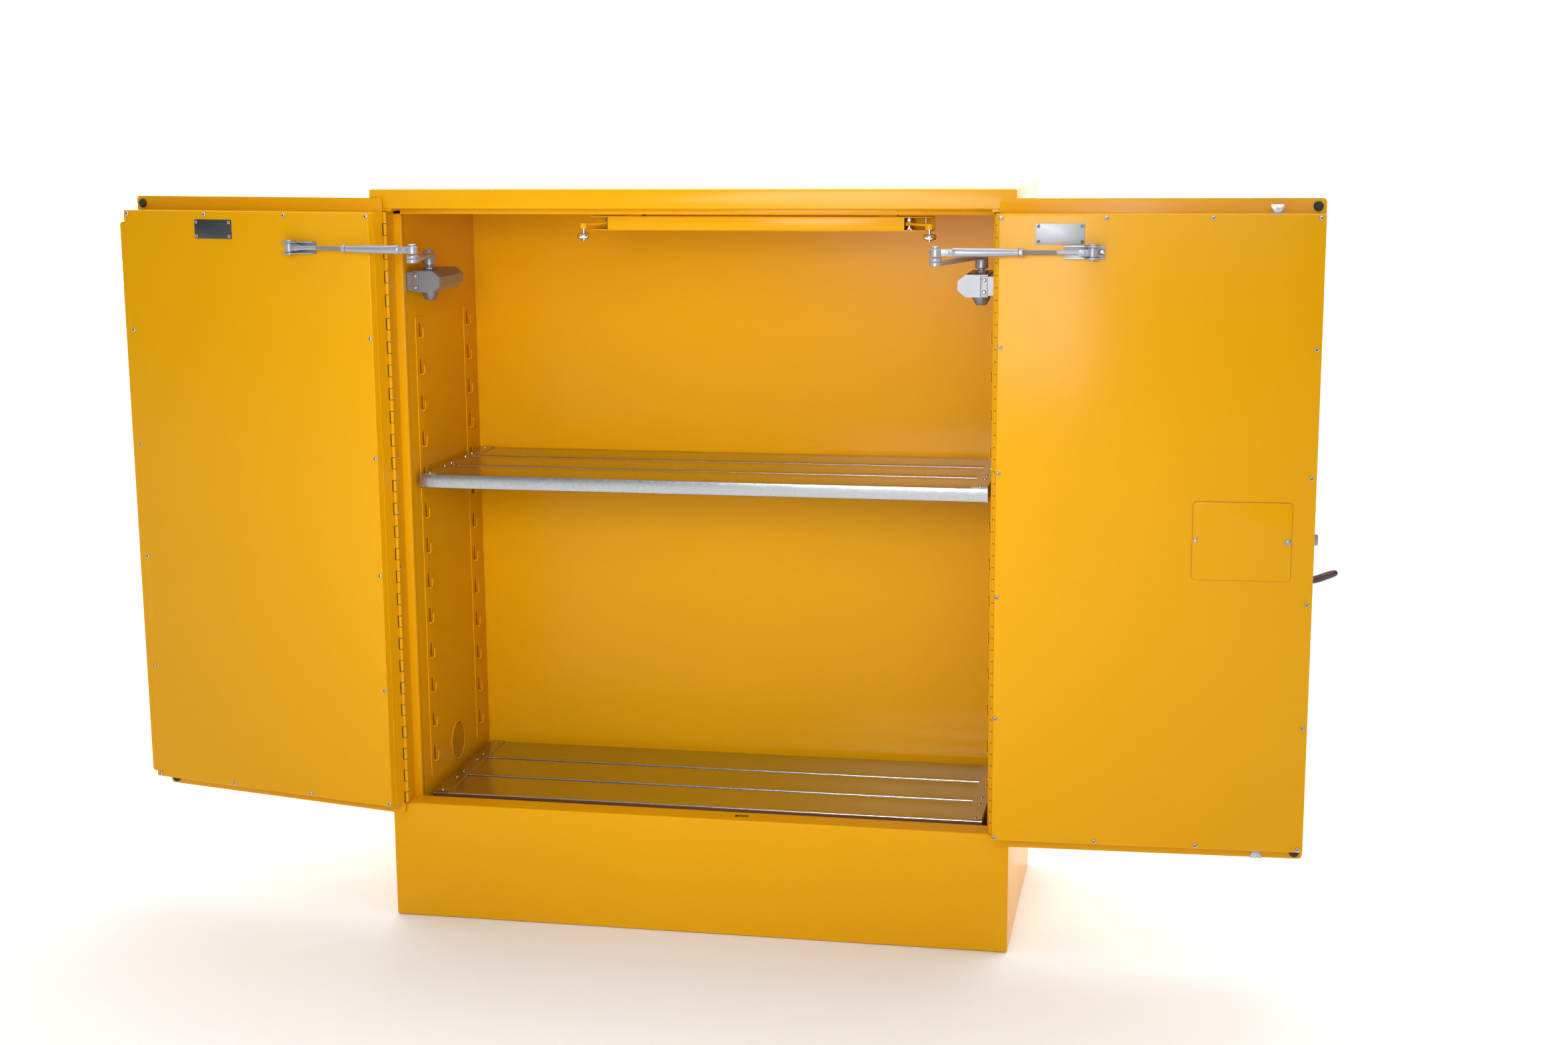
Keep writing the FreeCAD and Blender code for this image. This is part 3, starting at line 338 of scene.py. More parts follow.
def slab(corners, low, high, soft=0.0005, steps=2, least=30):
    """A flat outline given thickness along Z, with soft edges."""
    bm = bmesh.new()
    bottom = bm.faces.new([bm.verts.new((x, y, low)) for x, y in corners])
    made = bmesh.ops.extrude_face_region(bm, geom=[bottom])
    moved = [v for v in made["geom"] if isinstance(v, bmesh.types.BMVert)]
    bmesh.ops.translate(bm, verts=moved, vec=(0, 0, high - low))
    bmesh.ops.recalc_face_normals(bm, faces=bm.faces)
    return soften(bm, soft, steps, least) if soft else bm


def block(low, high, soft=0.0005, steps=2):
    """A box between two corners, with soft edges."""
    corners = [(low[0], low[1]), (high[0], low[1]), (high[0], high[1]), (low[0], high[1])]
    return slab(corners, low[2], high[2], soft, steps)


def rounded(corners, radius, steps=5, closed=True):
    """The same outline or open path with each corner turned on an arc."""
    made = []
    count = len(corners)
    for i, (x, y) in enumerate(corners):
        if not closed and i in (0, count - 1):
            made.append((x, y))
            continue
        here = Vector((x, y))
        back = Vector(corners[i - 1]) - here
        ahead = Vector(corners[(i + 1) % count]) - here
        half = back.angle(ahead) / 2
        inset = min(radius / math.tan(half), back.length * 0.49, ahead.length * 0.49)
        reach = inset * math.tan(half)
        first = here + back.normalized() * inset
        last = here + ahead.normalized() * inset
        middle = here + (back.normalized() + ahead.normalized()).normalized() * (reach / math.sin(half))
        begin = math.atan2(first.y - middle.y, first.x - middle.x)
        sweep = math.atan2(last.y - middle.y, last.x - middle.x) - begin
        sweep = (sweep + math.pi) % (2 * math.pi) - math.pi
        for k in range(steps + 1):
            turn = begin + sweep * k / steps
            made.append((middle.x + reach * math.cos(turn), middle.y + reach * math.sin(turn)))
    return made


def rectangle(x_low, y_low, x_high, y_high):
    """Corners of an upright rectangle."""
    return [(x_low, y_low), (x_high, y_low), (x_high, y_high), (x_low, y_high)]


def sheet_section(path, thick, radius, steps=4):
    """Closed outline of a folded sheet whose one face follows a path, on the path's left."""
    line = [Vector(p) for p in rounded(path, radius, steps, closed=False)]
    offset = []
    for i, point in enumerate(line):
        before = (point - line[i - 1]).normalized() if i else None
        after = (line[i + 1] - point).normalized() if i < len(line) - 1 else before
        before = before or after
        normal = Vector((-(before + after).y, (before + after).x)).normalized()
        offset.append(point + normal * thick / max(0.5, normal.dot(Vector((-after.y, after.x)))))
    return [tuple(p) for p in line] + [tuple(p) for p in reversed(offset)]


def shift(x, y, z):
    """A matrix that moves a part."""
    return Matrix.Translation((x, y, z))


def circle(count):
    """Evenly spaced angles round a full turn, in radians."""
    return [2 * math.pi * i / count for i in range(count)]


def ring(bm, points):
    """New vertices at some points."""
    return [bm.verts.new(point) for point in points]


def bridge(bm, rings):
    """Closed bands of four-sided faces between rings that have the same count of vertices."""
    for low, high in zip(rings, rings[1:]):
        for i in range(len(low)):
            j = (i + 1) % len(low)
            bm.faces.new((low[i], low[j], high[j], high[i]))


def lathe(profile, segments=28):
    """A turned shape about Z from (radius, height) points, from the bottom up."""
    bm = bmesh.new()
    rings = []
    for radius, height in profile:
        if radius < 1e-7:
            rings.append(ring(bm, [(0, 0, height)]))
            continue
        rings.append(ring(bm, [(radius * math.cos(t), radius * math.sin(t),
            height) for t in circle(segments)]))
    for low, high in zip(rings, rings[1:]):
        for i in range(segments):
            j = (i + 1) % segments
            corners = [low[i % len(low)], low[j % len(low)], high[j % len(high)], high[i % len(high)]]
            unique = list(dict.fromkeys(corners))
            if len(unique) > 2:
                bm.faces.new(unique)
    return bm


def hex_nut(radius, low, high):
    """A hexagon nut with chamfered corners."""
    corners = [(radius * math.cos(t), radius * math.sin(t)) for t in circle(6)]
    return soften(slab(corners, low, high, 0), radius * 0.09, 2)


def hollow_head(radius, tall, socket, depth):
    """A button-head screw standing on Z 0, with a hexagon socket."""
    across = radius * 0.55
    profile = [(radius * 0.93, 0), (radius, tall * 0.14), (radius * 0.94, tall * 0.42),
        (radius * 0.8, tall * 0.72), (across, tall * 0.97), (socket * 1.12, tall)]
    bm = bmesh.new()
    turns = circle(24)
    sixth = math.radians(60)
    rings = [ring(bm, [(r * math.cos(t), r * math.sin(t), z) for t in turns]) for r, z in profile]
    for z in (tall, tall - depth):
        flats = [socket * math.cos(sixth / 2) / math.cos(t % sixth - sixth / 2) for t in turns]
        rings.append(ring(bm, [(r * math.cos(t), r * math.sin(t), z) for r, t in zip(flats, turns)]))
    bridge(bm, rings)
    bm.faces.new(rings[-1])
    return bm


def domed(radius, tall, rise=0.45):
    """A plain domed rivet head standing on Z 0."""
    side = tall * (1 - rise)
    profile = [(radius, 0), (radius, side)]
    for i in range(1, 6):
        turn = math.radians(18 * i)
        profile.append((radius * math.cos(turn), side + (tall - side) * math.sin(turn)))
    profile[-1] = (0, tall)
    return lathe(profile, 20)


def rod(radius, long, chamfer=0.0006):
    """A round bar on Z from 0, with chamfered ends."""
    return lathe([(0, 0), (radius - chamfer, 0), (radius, chamfer), (radius, long - chamfer),
        (radius - chamfer, long), (0, long)])


def at(x, y, z, axis="z", spin=0.0):
    """A matrix that stands a part's Z along an axis at a point."""
    turns = {"z": Matrix.Identity(4), "-z": Matrix.Rotation(math.pi, 4, "X"),
        "x": Matrix.Rotation(math.pi / 2, 4, "Y"), "-x": Matrix.Rotation(-math.pi / 2, 4, "Y"),
        "y": Matrix.Rotation(-math.pi / 2, 4, "X"), "-y": Matrix.Rotation(math.pi / 2, 4, "X")}
    return shift(x, y, z) @ turns[axis] @ Matrix.Rotation(math.radians(spin), 4, "Z")


def moved(part, place):
    """The part, moved."""
    part.transform(place)
    return part


def extruded(section, plane, low, high, soft=0.0):
    """A section drawn in the XZ, YZ or XY plane, extruded along the third axis."""
    bm = slab(section, low, high, soft)
    if plane == "xz":
        bm.transform(Matrix(((1, 0, 0, 0), (0, 0, 1, 0), (0, 1, 0, 0), (0, 0, 0, 1))))
    if plane == "yz":
        bm.transform(Matrix(((0, 0, 1, 0), (1, 0, 0, 0), (0, 1, 0, 0), (0, 0, 0, 1))))
    return bm


def pierced(across, up, holes):
    """A flat sheet in XY between stops, left open where a stop pair is a hole."""
    bm = bmesh.new()
    grid = {}
    for i in range(len(across) - 1):
        for j in range(len(up) - 1):
            middle = ((across[i] + across[i + 1]) / 2, (up[j] + up[j + 1]) / 2)
            if any(h[0] < middle[0] < h[2] and h[1] < middle[1] < h[3] for h in holes):
                continue
            corners = []
            for a, b in ((i, j), (i + 1, j), (i + 1, j + 1), (i, j + 1)):
                if (a, b) not in grid:
                    grid[a, b] = bm.verts.new((across[a], up[b], 0))
                corners.append(grid[a, b])
            bm.faces.new(corners)
    return bm


def pierced_sheet(x_low, y_low, x_high, y_high, holes, thick):
    """A rectangular sheet with rectangular holes, Z from 0 down to minus its thickness."""
    across = sorted({x_low, x_high, *[h[0] for h in holes], *[h[2] for h in holes]})
    up = sorted({y_low, y_high, *[h[1] for h in holes], *[h[3] for h in holes]})
    bm = pierced(across, up, holes)
    made = bmesh.ops.extrude_face_region(bm, geom=bm.faces[:])
    top = [v for v in made["geom"] if isinstance(v, bmesh.types.BMVert)]
    bmesh.ops.translate(bm, verts=top, vec=(0, 0, -thick))
    return bm


# ---------------------------------------------------------------- where things are
X_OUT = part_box("side_panel_right")[1].x
Y_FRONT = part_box("base_front")[0].y
Y_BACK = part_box("back_panel")[1].y
Z_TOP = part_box("top_panel")[1].z
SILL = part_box("sill")[1].z
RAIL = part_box("jamb_right")[1].z
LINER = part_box("jamb_right")[0].x
LIP_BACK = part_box("jamb_right")[1].y
SHEET = 0.0012
REVEAL = LINER + 0.0132
PAN_IN = 0.045
PAN_LOW = 0.217
PAN_HIGH = 1.2525
KNUCKLE = 0.02
LATCH_ALONG = 0.436
LATCH_IN = 0.033
DOOR_NEAR = 0.0036
PAN_FAR = 0.5105
HOOK_ROWS = [0.258 + 0.06425 * i for i in range(13)]
HOOK_COLUMNS = (-0.118, 0.136)
ROW = 0.866
HINGE_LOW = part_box("hinge_leaf_left")[0].z
HINGE_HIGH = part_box("hinge_leaf_left")[1].z


def where(name):
    """A joint's position."""
    return joints[name]["pos_m"]


def door_place(side):
    """Matrix from a closed door's own frame to the rest position: along the door, through it, up."""
    joint = joints[side + "_door_swing"]
    turn = math.radians(joint["range_deg"][1])
    hand = 1 if side == "left" else -1
    x, y, z = joint["pos_m"]
    return Matrix(((hand * math.cos(turn), hand * math.sin(turn), 0, x),
        (-math.sin(turn), math.cos(turn), 0, y), (0, 0, 1, 0), (0, 0, 0, 1)))


def link_place(start, end, level):
    """Matrix that lays a link's X from one pivot to another."""
    heading = math.atan2(end.y - start.y, end.x - start.x)
    return shift(start.x, start.y, level) @ Matrix.Rotation(heading, 4, "Z")


def closer_points(side):
    """Spindle, elbow and shoe pivot in plan at rest."""
    spindle = Vector(where(side + "_arm_turn")[:2])
    shoe = Vector(where(side + "_forearm_turn")[:2])
    gap = shoe - spindle
    along = (ARM ** 2 + gap.length ** 2 - FOREARM ** 2) / (2 * gap.length)
    off = math.sqrt(ARM ** 2 - along ** 2)
    unit = gap.normalized()
    normal = Vector((-unit.y, unit.x)) * (1 if side == "left" else -1)
    return spindle, spindle + unit * along + normal * off, shoe


# ---------------------------------------------------------------- case
def case_shell():
    """Outer wrap with rounded folds, and the front frame turned into the reveal."""
    edge = 0.003
    turn = 0.0025
    bm = block((-X_OUT, Y_FRONT, 0), (X_OUT, Y_BACK, Z_TOP), edge, 4)
    bm.normal_update()
    front = max((f for f in bm.faces if f.normal.y < -0.99), key=lambda f: f.calc_area())
    corners = sorted(front.verts, key=lambda v: math.atan2(v.co.z - Z_TOP / 2, v.co.x))
    bmesh.ops.delete(bm, geom=[front], context="FACES_ONLY")

    def loop(inset, depth):
        """The opening's outline, grown or shrunk and set back."""
        x = REVEAL - inset
        places = ((-x, SILL + inset), (x, SILL + inset), (x, RAIL - inset), (-x, RAIL - inset))
        return ring(bm, [(a, Y_FRONT + depth, b) for a, b in places])

    rings = [corners]
    for i in range(6):
        angle = math.radians(18 * i)
        rings.append(loop(turn * (math.sin(angle) - 1), turn * (1 - math.cos(angle))))
    bridge(bm, rings)
    back = loop(0, LIP_BACK - SHEET - Y_FRONT)
    for i in (1, 2, 3):
        bm.faces.new((rings[-1][i], rings[-1][(i + 1) % 4], back[(i + 1) % 4], back[i]))
    case_piece("case_shell", bm, ("side_panel_left", "side_panel_right", "back_panel", "top_panel",
        "base_front", "base_floor"))


def frame_folds():
    """Stop lips of the side posts and the rail, and the sill with its strike slot, with painted shade in the
    strike slots of the sill and the rail.
    """
    for side, hand in HANDS:
        low, high = sorted((hand * LINER, hand * (REVEAL + SHEET)))
        lip = block((low, LIP_BACK - SHEET, SILL - 0.02), (high, LIP_BACK, RAIL + 0.001), 0.0005, 2)
        low, high = sorted((hand * (LINER - 0.0005), hand * (LINER + 0.001)))
        bead = block((low, LIP_BACK - 0.0004, SILL), (high, LIP_BACK + 0.012, RAIL - 0.0005), 0.0003, 2)
        low, high = sorted((hand * (LINER + 0.0005), hand * (REVEAL + 0.0003)))
        cap = block((low, Y_FRONT + 0.0006, HINGE_HIGH + 0.0001), (high, LIP_BACK - 0.0002, RAIL + 0.0006),
            0.0003, 1)
        case_piece("frame_post_" + side, total(lip, bead, cap), ("jamb_" + side,))
    drop = 0.0105
    lip = block((-REVEAL, LIP_BACK - SHEET, RAIL - drop), (REVEAL, LIP_BACK, RAIL + 0.0006), 0.0005, 2)
    case_piece("rail_lip", lip, ("top_rail",))
    sill_back = Y_FRONT + 0.046
    bend = 0.003
    slot = strike_box()
    top = pierced_sheet(-REVEAL, Y_FRONT + 0.0025, REVEAL, sill_back - bend, [slot], SHEET)
    top.transform(shift(0, 0, SILL))
    fold = sheet_section([(sill_back, 0.0615), (sill_back, SILL), (sill_back - bend, SILL)], SHEET, 0.0014)
    case_piece("sill_fold", total(top, extruded(fold, "yz", -LINER, LINER)), ("sill",))
    low_x, low_y, high_x, high_y = slot
    grow = 0.0009
    rim = pierced_sheet(low_x - grow, low_y - grow, high_x + grow, high_y + grow, [slot], 0.0004)
    case_piece("sill_slot_rim", moved(rim, shift(0, 0, SILL + 0.00025)))
    # Painted shade: a dark block under the sill's strike slot.
    margin = 0.002
    well = block((low_x - margin, low_y - margin, SILL - 0.012),
        (high_x + margin, high_y + margin, SILL - 0.009), 0.0003)
    case_piece("sill_slot_well", well, look=painted_shade_dark())
    # Painted shade: a dark block in the rail's strike slot.
    shadow = block((low_x, low_y, RAIL - 0.0003), (high_x, high_y, RAIL + 0.0002), 0.0001, 1)
    case_piece("rail_slot", shadow, look=painted_shade_dark())


def strike_box():
    """Outline of the strike slots, over the right door's latch bolts once it is shut."""
    half_wide, half_deep = 0.012, 0.007
    x = where("right_door_swing")[0] - LATCH_ALONG
    y = where("right_door_swing")[1] + LATCH_IN
    return (x - half_wide, y - half_deep, x + half_wide, y + half_deep)


def hook_strips():
    """Slotted strips on the side walls with J hooks lanced out of them, and painted shade behind their slots."""
    for side, hand in HANDS:
        strips = bmesh.new()
        hooks = bmesh.new()
        slot_shades = bmesh.new()
        strip = 0.0015
        reach = 0.0068
        face = LINER - strip
        for y in HOOK_COLUMNS:
            slots = [(y - 0.0063, z + 0.0015, y + 0.0063, z + 0.0255) for z in HOOK_ROWS]
            sheet = pierced_sheet(y - 0.019, 0.232, y + 0.021, 1.066, slots, strip)
            turn = Matrix(((0, 0, -hand, hand * face), (1, 0, 0, 0), (0, 1, 0, 0), (0, 0, 0, 1)))
            add(strips, sheet, turn)
            for z in HOOK_ROWS:
                path = [(face + strip, z), (face - reach, z), (face - reach, z + 0.0175)]
                if hand < 0:
                    path = [(-a, b) for a, b in path[::-1]]
                section = sheet_section(path, 0.0019, 0.0036, 5)
                add(hooks, extruded(section, "xz", y - 0.006, y + 0.006))
                # Painted shade: a darkened sheet just behind each slot.
                low, high = sorted((hand * (LINER - 0.0003), hand * (LINER + 0.0002)))
                add(slot_shades, block((low, y - 0.0061, z + 0.0017), (high, y + 0.0061, z + 0.0253), 0))
        soften(hooks, 0.00025, 1, 50)
        case_piece("hook_strips_" + side, strips)
        case_piece("hooks_" + side, hooks, ("wall_hooks_" + side,))
        case_piece("hook_slots_" + side, slot_shades, look=painted_shade_yellow())


def vents():
    """Perforated flash arrestors inside, each with a disc of painted shade behind its holes."""
    for side, hand in HANDS:
        x, y, z = where(side + "_vent_cap_turn")
        rim = lathe([(0.0335, 0.0002), (0.0368, 0), (0.0372, 0.0006), (0.0372, 0.0012), (0.0366, 0.0018),
            (0.0345, 0.0018), (0.0338, 0.0012), (0.0335, 0.0006)], 48)
        holes = bmesh.new()
        pitch = 0.0052
        for i in range(-8, 9):
            for j in range(-8, 9):
                a = pitch * (i + j / 2)
                b = pitch * j * ROW
                if math.hypot(a, b) < 0.0325:
                    add(holes, cell(pitch, 0.0015), shift(a, b, 0.0012))
        place = at(hand * LINER, y, z, "x" if hand < 0 else "-x")
        piece("arrestor_ring_" + side, moved(rim, place), "cabinet", "bright_steel", look=yellow(),
            replaces=("flash_arrestors",))
        piece("arrestor_screen_" + side, moved(holes, place), "cabinet", "bright_steel", look=yellow())
        # Painted shade: a dark disc behind the perforations.
        disc = moved(lathe([(0, 0.0002), (0.0336, 0.0002), (0.0336, 0.0006), (0, 0.0006)], 40), place)
        piece("arrestor_gauze_" + side, disc, "cabinet", "bright_steel", look=painted_shade_dark())


def cell(pitch, hole):
    """One hexagon of perforated sheet with its round hole."""
    bm = bmesh.new()
    corner = pitch / 2 / math.cos(math.radians(30))
    outer, inner = [], []
    for i, turn in enumerate(circle(12)):
        reach = corner if i % 2 else pitch / 2
        outer.append(bm.verts.new((reach * math.cos(turn), reach * math.sin(turn), 0)))
        inner.append(bm.verts.new((hole * math.cos(turn), hole * math.sin(turn), 0)))
    bridge(bm, [outer, inner])
    return bm


# ---------------------------------------------------------------- shelf and grate
def slatted(name, body, level, rail_low, nodes, half):
    """Three folded slats in two end rails, riveted."""
    front, deep, gap = -0.163, 0.333, 0.009
    wide = (deep - 2 * gap) / 3
    drop = 0.025
    slats = bmesh.new()
    rivets = bmesh.new()
    for i in range(3):
        low = front + i * (wide + gap)
        high = low + wide
        path = [(high - 0.013, level - drop + 0.0006), (high, level - drop + 0.0006), (high, level),
            (low, level), (low, level - drop + 0.0006), (low + 0.013, level - drop + 0.0006)]
        add(slats, extruded(sheet_section(path, SHEET, 0.0022, 4), "yz", SHEET - half, half - SHEET))
        for y in (low + 0.014, high - 0.014):
            for hand in (-1, 1):
                add(rivets, domed(0.0033, 0.0016), shift(hand * (half - 0.014), y, level + SHEET))
    rails = bmesh.new()
    for hand in (-1, 1):
        path = [(hand * (half - 0.028), level + SHEET), (hand * half, level + SHEET), (hand * half, rail_low)]
        if hand > 0:
            path = path[::-1]
        add(rails, extruded(sheet_section(path, SHEET, 0.0022, 4), "xz", front, front + deep))
    piece(name + "_slats", slats, body, "galvanised", replaces=nodes[:1])
    piece(name + "_rails", rails, body, "galvanised", replaces=nodes[1:])
    piece(name + "_rivets", rivets, body, "galvanised", look=zinc())


# ---------------------------------------------------------------- doors
def doors():
    """Outer sheet, inner pan, screws, bumpers and plates of both doors, with painted shade in the screw heads and
    rivet hollows.
    """
    for side in SIDES:
        place = door_place(side)
        body = side + "_door"
        outline = rounded(rectangle(DOOR_NEAR, 0.192, 0.514, 1.276), 0.0065, 7)
        skin = extruded(outline, "xz", 0.0003, 0.0015, 0.00045)
        piece(side + "_door_sheet", skin, body, "yellow_paint", place, ("door_skin_" + side,))
        pan = block((DOOR_NEAR, 0.0014, PAN_LOW), (PAN_FAR, PAN_IN, PAN_HIGH), 0.0019, 4)
        piece(side + "_door_tray", pan, body, "yellow_paint", place, ("door_pan_" + side,))
        screws = bmesh.new()
        socket_shades = bmesh.new()
        for i in range(4):
            for j in range(6):
                if i in (0, 3) or j in (0, 5):
                    spot = at(0.008 + 0.1647 * i, PAN_IN, 0.2223 + 0.2048 * j, "y", 17 * (i + 3 * j))
                    add(screws, hollow_head(0.0038, 0.0024, 0.0016, 0.0016), spot)
                    add(socket_shades, recess(0.0015, 0.0012), spot)
        piece(side + "_door_screw_heads", screws, body, "zinc_plate", place, ("door_screws_" + side,))
        # Painted shade: dark discs in the screw heads' hex holes, in the rubber's black.
        piece(side + "_door_screw_sockets", socket_shades, body, "zinc_plate", place, look=rubber())
        pads = bmesh.new()
        for z in (0.2025, 1.2632):
            profile = [(0.0079, 0), (0.0079, 0.0012), (0.0072, 0.0034), (0.006, 0.0045), (0.0036, 0.005),
                (0.0016, 0.0046), (0, 0.004)]
            add(pads, lathe(profile, 28), at(0.501, 0.0015, z, "y"))
        piece(side + "_door_rubber", pads, body, "bumper_rubber", place, ("door_bumpers_" + side,))
        near = 0.281 if side == "left" else 0.062
        slot = "dark_plate" if side == "left" else "brushed_plate"
        thick = 0.001
        card = rounded(rectangle(near, 1.205, near + 0.0773, 1.238), 0.0012, 4)
        piece(side + "_door_plate", extruded(card, "xz", PAN_IN, PAN_IN + thick, 0.0003), body, slot, place,
            ("blank_plate_" + side,))
        rivets = bmesh.new()
        pit_shades = bmesh.new()
        for x in (near + 0.0045, near + 0.0728):
            for z in (1.2095, 1.2335):
                head = lathe([(0.003, 0), (0.003, 0.0004), (0.0027, 0.0011), (0.0019, 0.0015),
                    (0.0012, 0.0012), (0.001, 0.0004), (0, 0.0004)], 20)
                spot = at(x, PAN_IN + thick, z, "y")
                add(pit_shades, recess(0.0011, 0.0009), spot)
                add(rivets, head, spot)
        piece(side + "_door_plate_rivets", rivets, body, "zinc_plate", place)
        # Painted shade: dark discs in the rivet hollows, in the rubber's black.
        piece(side + "_door_plate_pits", pit_shades, body, "zinc_plate", place, look=rubber())
        hinge_marks(side)


def recess(radius, top, thick=0.0004):
    """A thin dark disc of painted shade in the hollow middle of a screw or rivet head."""
    return lathe([(0, top), (radius, top), (radius, top - thick), (0, top - thick)], 12)


def hinge_marks(side):
    """Painted shade at the joints between the knuckles and in the slits cut in the door's leaf for the frame's
    knuckles, and a painted shade line along the leaf's edge."""
    place = door_place(side)
    joint_shades = bmesh.new()
    slits = bmesh.new()
    count = round((HINGE_HIGH - HINGE_LOW) / KNUCKLE)
    wide = 0.0011
    # Painted shade: dark rings at the joints between the knuckles.
    for i in range(count + 1):
        add(joint_shades, rod(0.00335, wide, 0.0001), shift(0, 0, HINGE_LOW + KNUCKLE * i - wide / 2))
    # Painted shade: dark blocks in the slits of the door's leaf.
    for i in range(0, count, 2):
        low = HINGE_LOW + KNUCKLE * i
        add(slits, block((0.0015, 0.0032, low), (0.0022, 0.0046, low + KNUCKLE), 0))
    piece(side + "_hinge_joints", joint_shades, side + "_door", "yellow_paint", place, look=painted_shade_dark())
    piece(side + "_hinge_slits", slits, side + "_door", "yellow_paint", place, look=painted_shade_dark())
    # Painted shade line along the leaf's edge, in the darkened yellow.
    seam = block((0.0028, 0.029, PAN_LOW + 0.002), (0.0037, 0.0297, PAN_HIGH - 0.002), 0)
    piece(side + "_hinge_seam", seam, side + "_door", "yellow_paint", place, look=painted_shade_yellow())


def seal():
    """Strip past the left door's free edge."""
    outline = rounded(rectangle(0.508, 0.226, 0.521, 1.232), 0.006, 5)
    bm = extruded(outline, "xz", PAN_IN - 0.0032, PAN_IN - 0.002, 0.0004)
    web = block((0.5103, PAN_IN - 0.03, 0.232), (0.5117, PAN_IN - 0.003, 1.226), 0.0004)
    piece("meeting_strip", total(bm, web), "left_door", "yellow_paint", door_place("left"), ("centre_seal",))


def lock_gear():
    """Cover over the lock inside, its screws, escutcheon outside with the padlock tab, and the key barrel with its
    key slot.
    """
    place = door_place("right")
    face = PAN_IN + 0.0019
    cover = rounded(rectangle(0.319, 0.67, 0.4745, 0.797), 0.006, 5)
    piece("lock_cover_panel", extruded(cover, "xz", PAN_IN + 0.0003, face, 0.0006), "right_door",
        "yellow_paint", place, ("lock_cover",))
    # Painted shadow line round the edge of the lock cover, in the darkened yellow.
    edge = rounded(rectangle(0.3183, 0.6692, 0.4752, 0.7977), 0.0066, 5)
    piece("lock_cover_seam", extruded(edge, "xz", PAN_IN - 0.0001, PAN_IN + 0.0004), "right_door",
        "yellow_paint", place, look=painted_shade_yellow())
    small = hollow_head(0.004, 0.0022, 0.0017, 0.0013)
    piece("lock_cover_screw", moved(small, at(0.3237, face, 0.7347, "y")), "right_door", "zinc_plate", place)
    large = add(domed(0.0052, 0.0026, 0.6), cross_mark(), shift(0, 0, 0.0023))
    piece("lock_cover_bolt", moved(large, at(0.4693, face, 0.7337, "y")), "right_door", "zinc_plate", place,
        look=grey_lock())
    path = [(0.4, 0.664), (0.472, 0.664), (0.472, 0.7205), (0.5205, 0.7205), (0.5205, 0.7395),
        (0.472, 0.7395), (0.472, 0.806), (0.4, 0.806)]
    plate = extruded(rounded(path, 0.0035, 5), "xz", -0.0067, 0.0003, 0.0008)
    piece("escutcheon", plate, "right_door", "grey_lock", place, ("lock_plate",))
    barrel = lathe([(0.0085, 0), (0.0085, 0.0015), (0.0078, 0.0024), (0.0062, 0.0026), (0.0058, 0.002),
        (0, 0.002)], 28)
    lock = at(LATCH_ALONG, -0.0067, 0.781, "-y")
    piece("key_barrel", moved(barrel, lock), "right_door", "zinc_plate", place)
    # Painted shade: a dark block for the key slot, in the rubber's black.
    keyway = block((-0.0006, -0.0028, 0.0018), (0.0006, 0.0028, 0.0022), 0.0001, 1)
    piece("keyway", moved(keyway, lock), "right_door", "zinc_plate", place, look=rubber())


def cross_mark():
    """Raised marks of a cross recess."""
    return total(block((-0.0028, -0.0004, 0), (0.0028, 0.0004, 0.0004), 0.0001, 1),
        block((-0.0004, -0.0028, 0), (0.0004, 0.0028, 0.0004), 0.0001, 1))


def latch_bolts():
    """Latch bolts with their sprung outer tips, and the guides they slide in, with painted shade in the guides'
    holes.
    """
    place = door_place("right")
    x = LATCH_ALONG
    for end, body in (("top", "top_bolt"), ("bottom", "bottom_bolt")):
        up = end == "top"
        z = PAN_HIGH if up else PAN_LOW
        hand = 1 if up else -1
        low, high = sorted((z - hand * 0.01, z + hand * 0.0015))
        base = block((x - 0.005, 0.0285, low), (x + 0.005, 0.0375, high), 0.0008)
        half = [(0.004, 0.0008), (0.0108, 0.012), (0.01, 0.0146)]
        shape = [(x - half[0][0], z + hand * half[0][1])]
        shape += [(x + a, z + hand * b) for a, b in half]
        shape += [(x - a, z + hand * b) for a, b in half[:0:-1]]
        tip = extruded(rounded(shape, 0.0012, 4), "xz", 0.029, 0.037, 0.0006)
        stem = moved(rod(0.004, 0.3), at(x, LATCH_IN, z - 0.305 if up else z + 0.005))
        piece("latch_tip_" + end, total(base, tip, stem), body, "zinc_plate", place, ("latch_bolt_" + end,))
        hole = (x - 0.0108, LATCH_IN - 0.0055, x + 0.0108, LATCH_IN + 0.0055)
        guide = pierced_sheet(x - 0.014, 0.0255, x + 0.014, 0.0405, [hole], 0.0014)
        guide.transform(shift(0, 0, z + (0.0013 if up else 0.0001)))
        piece("latch_guide_" + end, guide, "right_door", "yellow_paint", place, look=zinc())
        # Painted shade: a dark block in each guide's hole.
        dark = block((hole[0], hole[1], z - 0.0002), (hole[2], hole[3], z + 0.0002), 0)
        piece("latch_well_" + end, dark, "right_door", "yellow_paint", place, look=painted_shade_dark())


def boxy(share):
    """Swells a sine or cosine, so that an oval section gets squarer."""
    return abs(share) ** 0.8 * (1 if share > 0 else -1)


